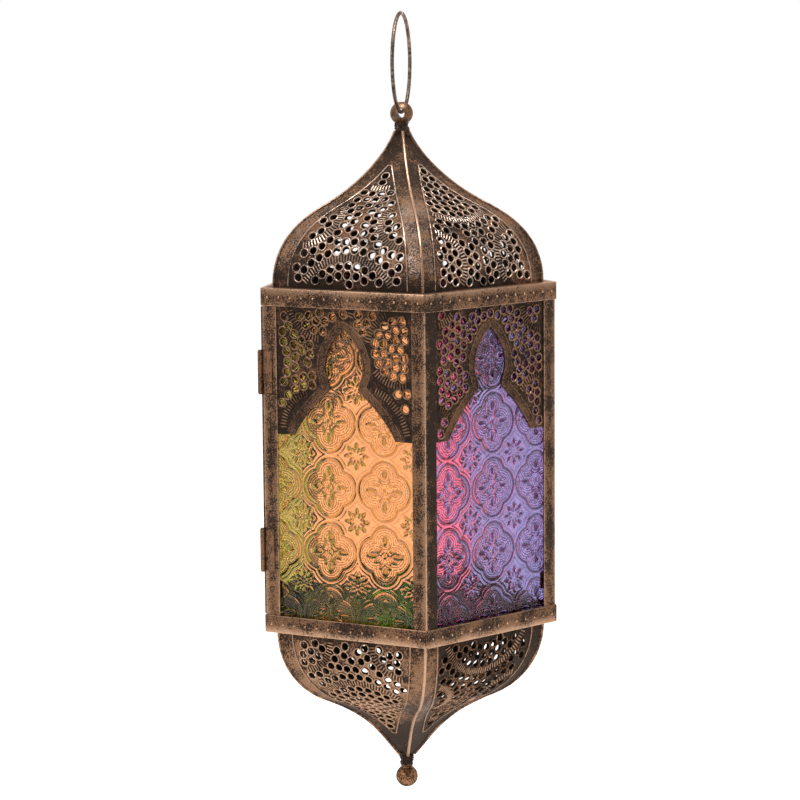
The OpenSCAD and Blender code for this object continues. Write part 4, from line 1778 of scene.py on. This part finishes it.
@dataclass(frozen=True)
class Studio:
    """Plain pale floor, white backdrop, dimmer room behind the camera, soft lamps, and the camera.

    The camera's place, aim and lens were fitted to the photograph. The backdrop is the direction in
    which the world is brightest, and fades into the room over backdrop_range. The indoor strength
    is what shows through the glass from the lantern's inside.
    """

    azimuth: float = 10.40
    elevation: float = 7.61
    roll: float = -0.48
    distance: float = 1404.3
    lens: float = 129.96
    sensor_w: float = 36.0
    aim_across: float = -1.89
    aim_z: float = -185.7
    floor_z: float = -560.0
    floor_half: float = 4.0
    floor_grey: float = 0.8
    floor_rough: float = 0.9
    floor_glow: float = 0.75
    backdrop: tuple[float, float, float] = (-0.1, 0.95, 0.3)
    backdrop_range: Point = (-0.15, 0.6)
    room: float = 0.35
    indoor: float = 0.35
    lamps: tuple[Lamp, ...] = (
        Lamp("key", (-1.1, -1.6, 0.95), 1.0, 17),
        Lamp("fill", (1.7, -0.35, 0.55), 1.0, 4),
        Lamp("top", (0.15, -0.2, 1.5), 0.8, 34),
    )

    def camera(self) -> None:
        """Place the camera."""
        a, e, r = (math.radians(v) for v in (self.azimuth, self.elevation, self.roll))
        back = Vector((math.sin(a) * math.cos(e), -math.cos(a) * math.cos(e), math.sin(e)))
        right = Vector((math.cos(a), math.sin(a), 0))
        up = back.cross(right)
        right, up = right * math.cos(r) + up * math.sin(r), up * math.cos(r) - right * math.sin(r)
        aim = Vector((self.aim_across * math.cos(a), self.aim_across * math.sin(a), self.aim_z))
        data = bpy.data.cameras.new("camera")
        data.sensor_width, data.lens = self.sensor_w, self.lens
        data.clip_start, data.clip_end = 0.01, 20.0
        camera = bpy.data.objects.new("camera", data)
        turn = Matrix((right, up, back)).transposed().to_4x4()
        camera.matrix_world = Matrix.Translation((aim + back * self.distance) * MM) @ turn
        bpy.context.scene.collection.objects.link(camera)
        bpy.context.scene.camera = camera

    def world(self) -> None:
        """Build the world: white to the camera, and a backdrop and a room to glossy and clear rays."""
        world = bpy.data.worlds.new("studio")
        bpy.context.scene.world = world
        world.use_nodes = True
        s = Shader(world.node_tree)
        back = world.node_tree.nodes["Background"]
        path = s.node("ShaderNodeLightPath").outputs
        split = s.node("ShaderNodeVectorMath", operation="DOT_PRODUCT")
        s.link(s.node("ShaderNodeTexCoord").outputs["Generated"], split.inputs[0])
        split.inputs[1].default_value = self.backdrop
        backdrop = s.ramp(split.outputs["Value"], *self.backdrop_range)
        shown = s.math("ADD", s.math("MULTIPLY", backdrop, 1 - self.room), self.room)
        bounced = s.math("MINIMUM", s.math("ADD", path["Diffuse Depth"], path["Glossy Depth"]), 1.0)
        inside = s.math("MULTIPLY", bounced, path["Is Transmission Ray"])
        shown = s.math("ADD", s.math("MULTIPLY", shown, s.math("SUBTRACT", 1.0, inside)),
                       s.math("MULTIPLY", inside, self.indoor))
        traced = s.math("MAXIMUM", path["Is Glossy Ray"], path["Is Transmission Ray"])
        strength = s.math("ADD", s.math("MULTIPLY", traced, s.math("SUBTRACT", shown, self.room)), self.room)
        back.inputs["Color"].default_value = (1, 1, 1, 1)
        s.link(s.math("MAXIMUM", strength, path["Is Camera Ray"]), back.inputs["Strength"])

    def floor(self) -> None:
        """Lay the pale floor, which the camera sees as white under the object's shadow."""
        mesh = bpy.data.meshes.new("floor")
        r, z = self.floor_half, self.floor_z * MM
        mesh.from_pydata([(-r, -r, z), (r, -r, z), (r, r, z), (-r, r, z)], [], [(0, 1, 2, 3)])
        made, s, shader = new_material("floor")
        shader.inputs["Base Color"].default_value = (self.floor_grey, self.floor_grey, self.floor_grey, 1)
        shader.inputs["Roughness"].default_value = self.floor_rough
        path = s.node("ShaderNodeLightPath").outputs
        seen = s.math("MAXIMUM", s.math("MAXIMUM", path["Is Camera Ray"], path["Is Glossy Ray"]),
                      path["Is Transmission Ray"])
        shader.inputs["Emission Color"].default_value = (1, 1, 1, 1)
        s.link(s.math("MULTIPLY", seen, self.floor_glow), shader.inputs["Emission Strength"])
        mesh.materials.append(made)
        floor = bpy.data.objects.new("floor", mesh)
        bpy.context.scene.collection.objects.link(floor)

    def build(self) -> None:
        """Build the world, the floor, the lamps and the camera."""
        bpy.context.scene.view_settings.view_transform = "Standard"
        self.world()
        self.camera()
        for lamp in self.lamps:
            lamp.hang(Vector((0, 0, self.aim_z * MM)))
        self.floor()


# Copper as it lies in the shade, on most of the sheet and where hands and cloths have rubbed it.
DARK, MID, RUBBED = (0.15, 0.075, 0.042), (0.25, 0.13, 0.07), (0.62, 0.39, 0.26)
METALS = (
    # Above z -0.14 m the petals' rubbed copper turns pale and silvery: a painted highlight of the light from
    # above on the top dome.
    CopperFinish("petal_sheet", MID, RUBBED, 0.66,
                 shift=Shift("Worn", "Z", -0.29, -0.14, (0.84, 0.68, 0.58))),
    CopperFinish("arch_sheet", DARK, (0.38, 0.22, 0.13), 0.72),
    CopperFinish("band_sheet", MID, (0.54, 0.33, 0.21), 0.7),
    CopperFinish("post_sheet", MID, RUBBED, 0.74),
    CopperFinish("worn_copper", (0.3, 0.17, 0.1), RUBBED, 0.6),
    CopperFinish("ring_wire", (0.2, 0.14, 0.1), (0.45, 0.36, 0.3), 0.6),
    CopperFinish("solder", (0.5, 0.48, 0.45), (0.75, 0.74, 0.72), 0.25),
    CopperFinish("door_sheet", MID, RUBBED, 0.7, wear=0.45),
    # The ball copper darkens upward: painted light on the bottom ball and painted shade on the top one.
    CopperFinish("ball_metal", (0.4, 0.19, 0.09), RUBBED, 0.66, wear=0.44,
                 shift=Shift("Copper", "Z", -0.36, -0.06, (0.2, 0.11, 0.06))),
    # The tray's green, turning plum towards +X, is painted light: the coloured light that the green door pane
    # and the violet right pane throw onto it.
    CopperFinish("tray_sheet", (0.36, 0.74, 0.34), (0.5, 0.82, 0.46), 0.2, wear=0.4, polish=0.2,
                 shift=Shift("Copper", "X", -0.01, 0.03, (0.16, 0.02, 0.09))),
    CopperFinish("clip_steel", (0.38, 0.24, 0.16), (0.6, 0.45, 0.36), 0.35, wear=0.55),
    CopperFinish("hinge_metal", MID, RUBBED, 0.52, wear=0.5),
    CopperFinish("latch_metal", MID, RUBBED, 0.6, wear=0.6),
)
GLASSES = (
    GlassFinish("glass_yellow", (0.97, 0.86, 0.36), (0.36, 0.27, 0.02)),
    # The violet's deep tone is nearly black: partly its colour pooled in the relief, partly painted shade
    # along the relief lines.
    GlassFinish("glass_violet", (0.97, 0.36, 0.66), (0.06, 0.002, 0.025)),
    GlassFinish("glass_blue", (0.36, 0.84, 0.99), (0.2, 0.55, 0.7)),
    GlassFinish("glass_coral", (0.97, 0.46, 0.44), (0.8, 0.25, 0.2)),
    GlassFinish("glass_green", (0.54, 0.56, 0.24), (0.3, 0.32, 0.08)),
)
# Wear on a petal's left margin, in its field and on its right margin, on the sides that differ, with painted
# light and shade: the top dome's front and right petals and the bottom front petal are painted brighter as
# lit, and the bottom right petal darker as painted shade.
TOP_WEAR_AND_SHADING = {Side.FRONT: (0.55, 0.46, 0.6), Side.RIGHT: (0.58, 0.5, 0.5)}
BOTTOM_WEAR_AND_SHADING = {Side.FRONT: (0.55, 0.6, 0.5), Side.RIGHT: (0.4, -0.15, 0.1)}
# How far the sheets' pattern is shifted up on each side, as a share of its repeat.
TOP_SHIFTS = {Side.DOOR: 0.2, Side.FRONT: 0.37, Side.RIGHT: 0.125, Side.REAR_RIGHT: 0.3, Side.REAR: 0.05}
BOTTOM_SHIFTS = {Side.DOOR: 0.3, Side.FRONT: 0.02, Side.RIGHT: 0.41, Side.REAR_RIGHT: 0.12, Side.REAR: 0.22}
# Ladder rings of the arch panels: place across, place down from the head and radius, in panel heights.
ARCH_RINGS = {
    Side.DOOR: ((0.6, -0.1, 0.28), (-0.62, 0, 0.28), (0.66, 0.95, 0.28), (-0.6, 0.86, 0.28)),
    Side.FRONT: ((-0.2, -0.04, 0.28), (0.49, 0.29, 0.28), (-0.26, 0.94, 0.28), (-0.84, 0.43, 0.28),
                 (0.1, 1.04, 0.46)),
    Side.RIGHT: ((-0.62, -0.16, 0.28), (-0.66, 1, 0.28), (0.62, -0.04, 0.28), (0.56, 0.86, 0.28)),
    Side.REAR_RIGHT: ((0.2, -0.04, 0.28), (-0.49, 0.29, 0.28), (0.26, 0.94, 0.28), (0.84, 0.43, 0.28),
                      (-0.1, 1.04, 0.46)),
    Side.REAR: ((-0.45, -0.1, 0.28), (-0.7, 0.9, 0.28), (0.3, -0.1, 0.28), (0.72, 0.5, 0.28)),
}
# Each fixed pane's finish, and where a quatrefoil's middle lies: across from the pane's middle, height.
PANES = {
    Side.FRONT: ("glass_yellow", (-9.0, -220.7)),
    Side.RIGHT: ("glass_violet", (2.5, -222.2)),
    Side.REAR_RIGHT: ("glass_blue", (6.0, -215.0)),
    Side.REAR: ("glass_coral", (-3.0, -224.0)),
}
DOOR_CENTRE = (4.0, -218.0)
# The posts, each at the right-hand corner of a side.
POSTS = {"post_hinge": Side.DOOR, "post_near": Side.FRONT, "post_right": Side.RIGHT,
         "post_rear": Side.REAR_RIGHT, "post_latch": Side.REAR}


@dataclass
class Lantern:
    """The whole lantern: finishes, and every sub-assembly in order."""

    levels: Levels = field(default_factory=Levels)
    glass_t: float = 2.8
    arch_wall: float = 0.6
    glass_lap: float = 2.6
    free_gap: float = 0.9
    door_lift: float = 0.1
    door_lap: float = 2.0

    def finishes(self) -> Looks:
        """Build every material once.

        Returns:
            Materials by slot name.
        """
        copper, pressed = AgedCopper().group(), PressedGlass().group()
        out = {m.name: m.material(copper) for m in METALS}
        out.update({g.name: g.material(pressed) for g in GLASSES})
        return out

    def windows(self, looks: Looks) -> None:
        """Build the panes and their pierced arch panels.

        Args:
            looks: materials by slot name.
        """
        lv = self.levels
        arch_a, door_a = lv.leg_in_a, lv.post_a + self.door_lift
        half_w, door_half = lv.view_half + self.glass_lap, lv.view_half - self.free_gap
        for side, (slot_name, centre) in PANES.items():
            Pane(lv, side, f"glass_{side.key}", "lantern", slot_name, arch_a - self.arch_wall, half_w,
                 self.glass_t, centre).build(looks[slot_name])
            ArchPanel(lv, side, f"arch_{side.key}", "lantern", arch_a, half_w, lv.view_half,
                      ARCH_RINGS[side]).build(looks["arch_sheet"])
        Pane(lv, Side.DOOR, "door_glass", "door", "glass_green", door_a - self.arch_wall, door_half,
             self.glass_t, DOOR_CENTRE).build(looks["glass_green"])
        ArchPanel(lv, Side.DOOR, "door_arch", "door", door_a, door_half, door_half - self.door_lap,
                  ARCH_RINGS[Side.DOOR]).build(looks["arch_sheet"])

    def domes(self, looks: Looks) -> None:
        """Build both domes.

        Args:
            looks: materials by slot name.
        """
        lv = self.levels
        top_foot, bottom_foot = lv.span("top_petal_front")[0], lv.span("bottom_petal_front")[1]
        top = Dome("top", lv, 1, top_foot, TOP_OGEE, TOP_SHIFTS, TOP_WEAR_AND_SHADING)
        bottom = Dome("bottom", lv, -1, bottom_foot, BOTTOM_OGEE, BOTTOM_SHIFTS, BOTTOM_WEAR_AND_SHADING)
        for dome in (top, bottom):
            for side in Side:
                dome.petal(side, looks["petal_sheet"])
            dome.seams(looks["worn_copper"])

    def build(self) -> None:
        """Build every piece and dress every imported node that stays."""
        looks = self.finishes()
        frame = Frame(self.levels)
        frame.band("top_band", True, looks["band_sheet"])
        frame.band("bottom_band", False, looks["band_sheet"])
        for name, corner in POSTS.items():
            # The near post's right leg, turned away from the key lamp, gets painted shade.
            frame.post(name, corner, corner is Side.FRONT, looks["post_sheet"])
        self.domes(looks)
        self.windows(looks)
        hanger = Hanger()
        hanger.ring(looks["ring_wire"], looks["solder"])
        hanger.necks(self.levels, looks["worn_copper"])
        self.dress(looks)

    def dress(self, looks: Looks) -> None:
        """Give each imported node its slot's material.

        Args:
            looks: materials by slot name.
        """
        slots = {row["node"]: row["material_slot"] for row in FRAME["record"]["subparts"]}
        for name, piece in FRAME["nodes"].items():
            piece.data.materials.clear()
            piece.data.materials.append(looks[slots[name]])


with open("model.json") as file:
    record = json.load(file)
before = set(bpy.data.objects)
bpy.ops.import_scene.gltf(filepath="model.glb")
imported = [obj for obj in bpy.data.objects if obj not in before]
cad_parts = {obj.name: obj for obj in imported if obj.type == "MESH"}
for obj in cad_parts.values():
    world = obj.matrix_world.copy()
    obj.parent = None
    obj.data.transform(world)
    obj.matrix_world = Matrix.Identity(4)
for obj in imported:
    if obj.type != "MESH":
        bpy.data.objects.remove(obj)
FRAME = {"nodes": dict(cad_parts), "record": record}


def main() -> None:
    """Build the lantern and its studio."""
    logging.basicConfig(level=logging.INFO, format="%(name)s: %(message)s")
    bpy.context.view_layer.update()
    Studio().build()
    Lantern().build()


if __name__ == "__main__":
    main()
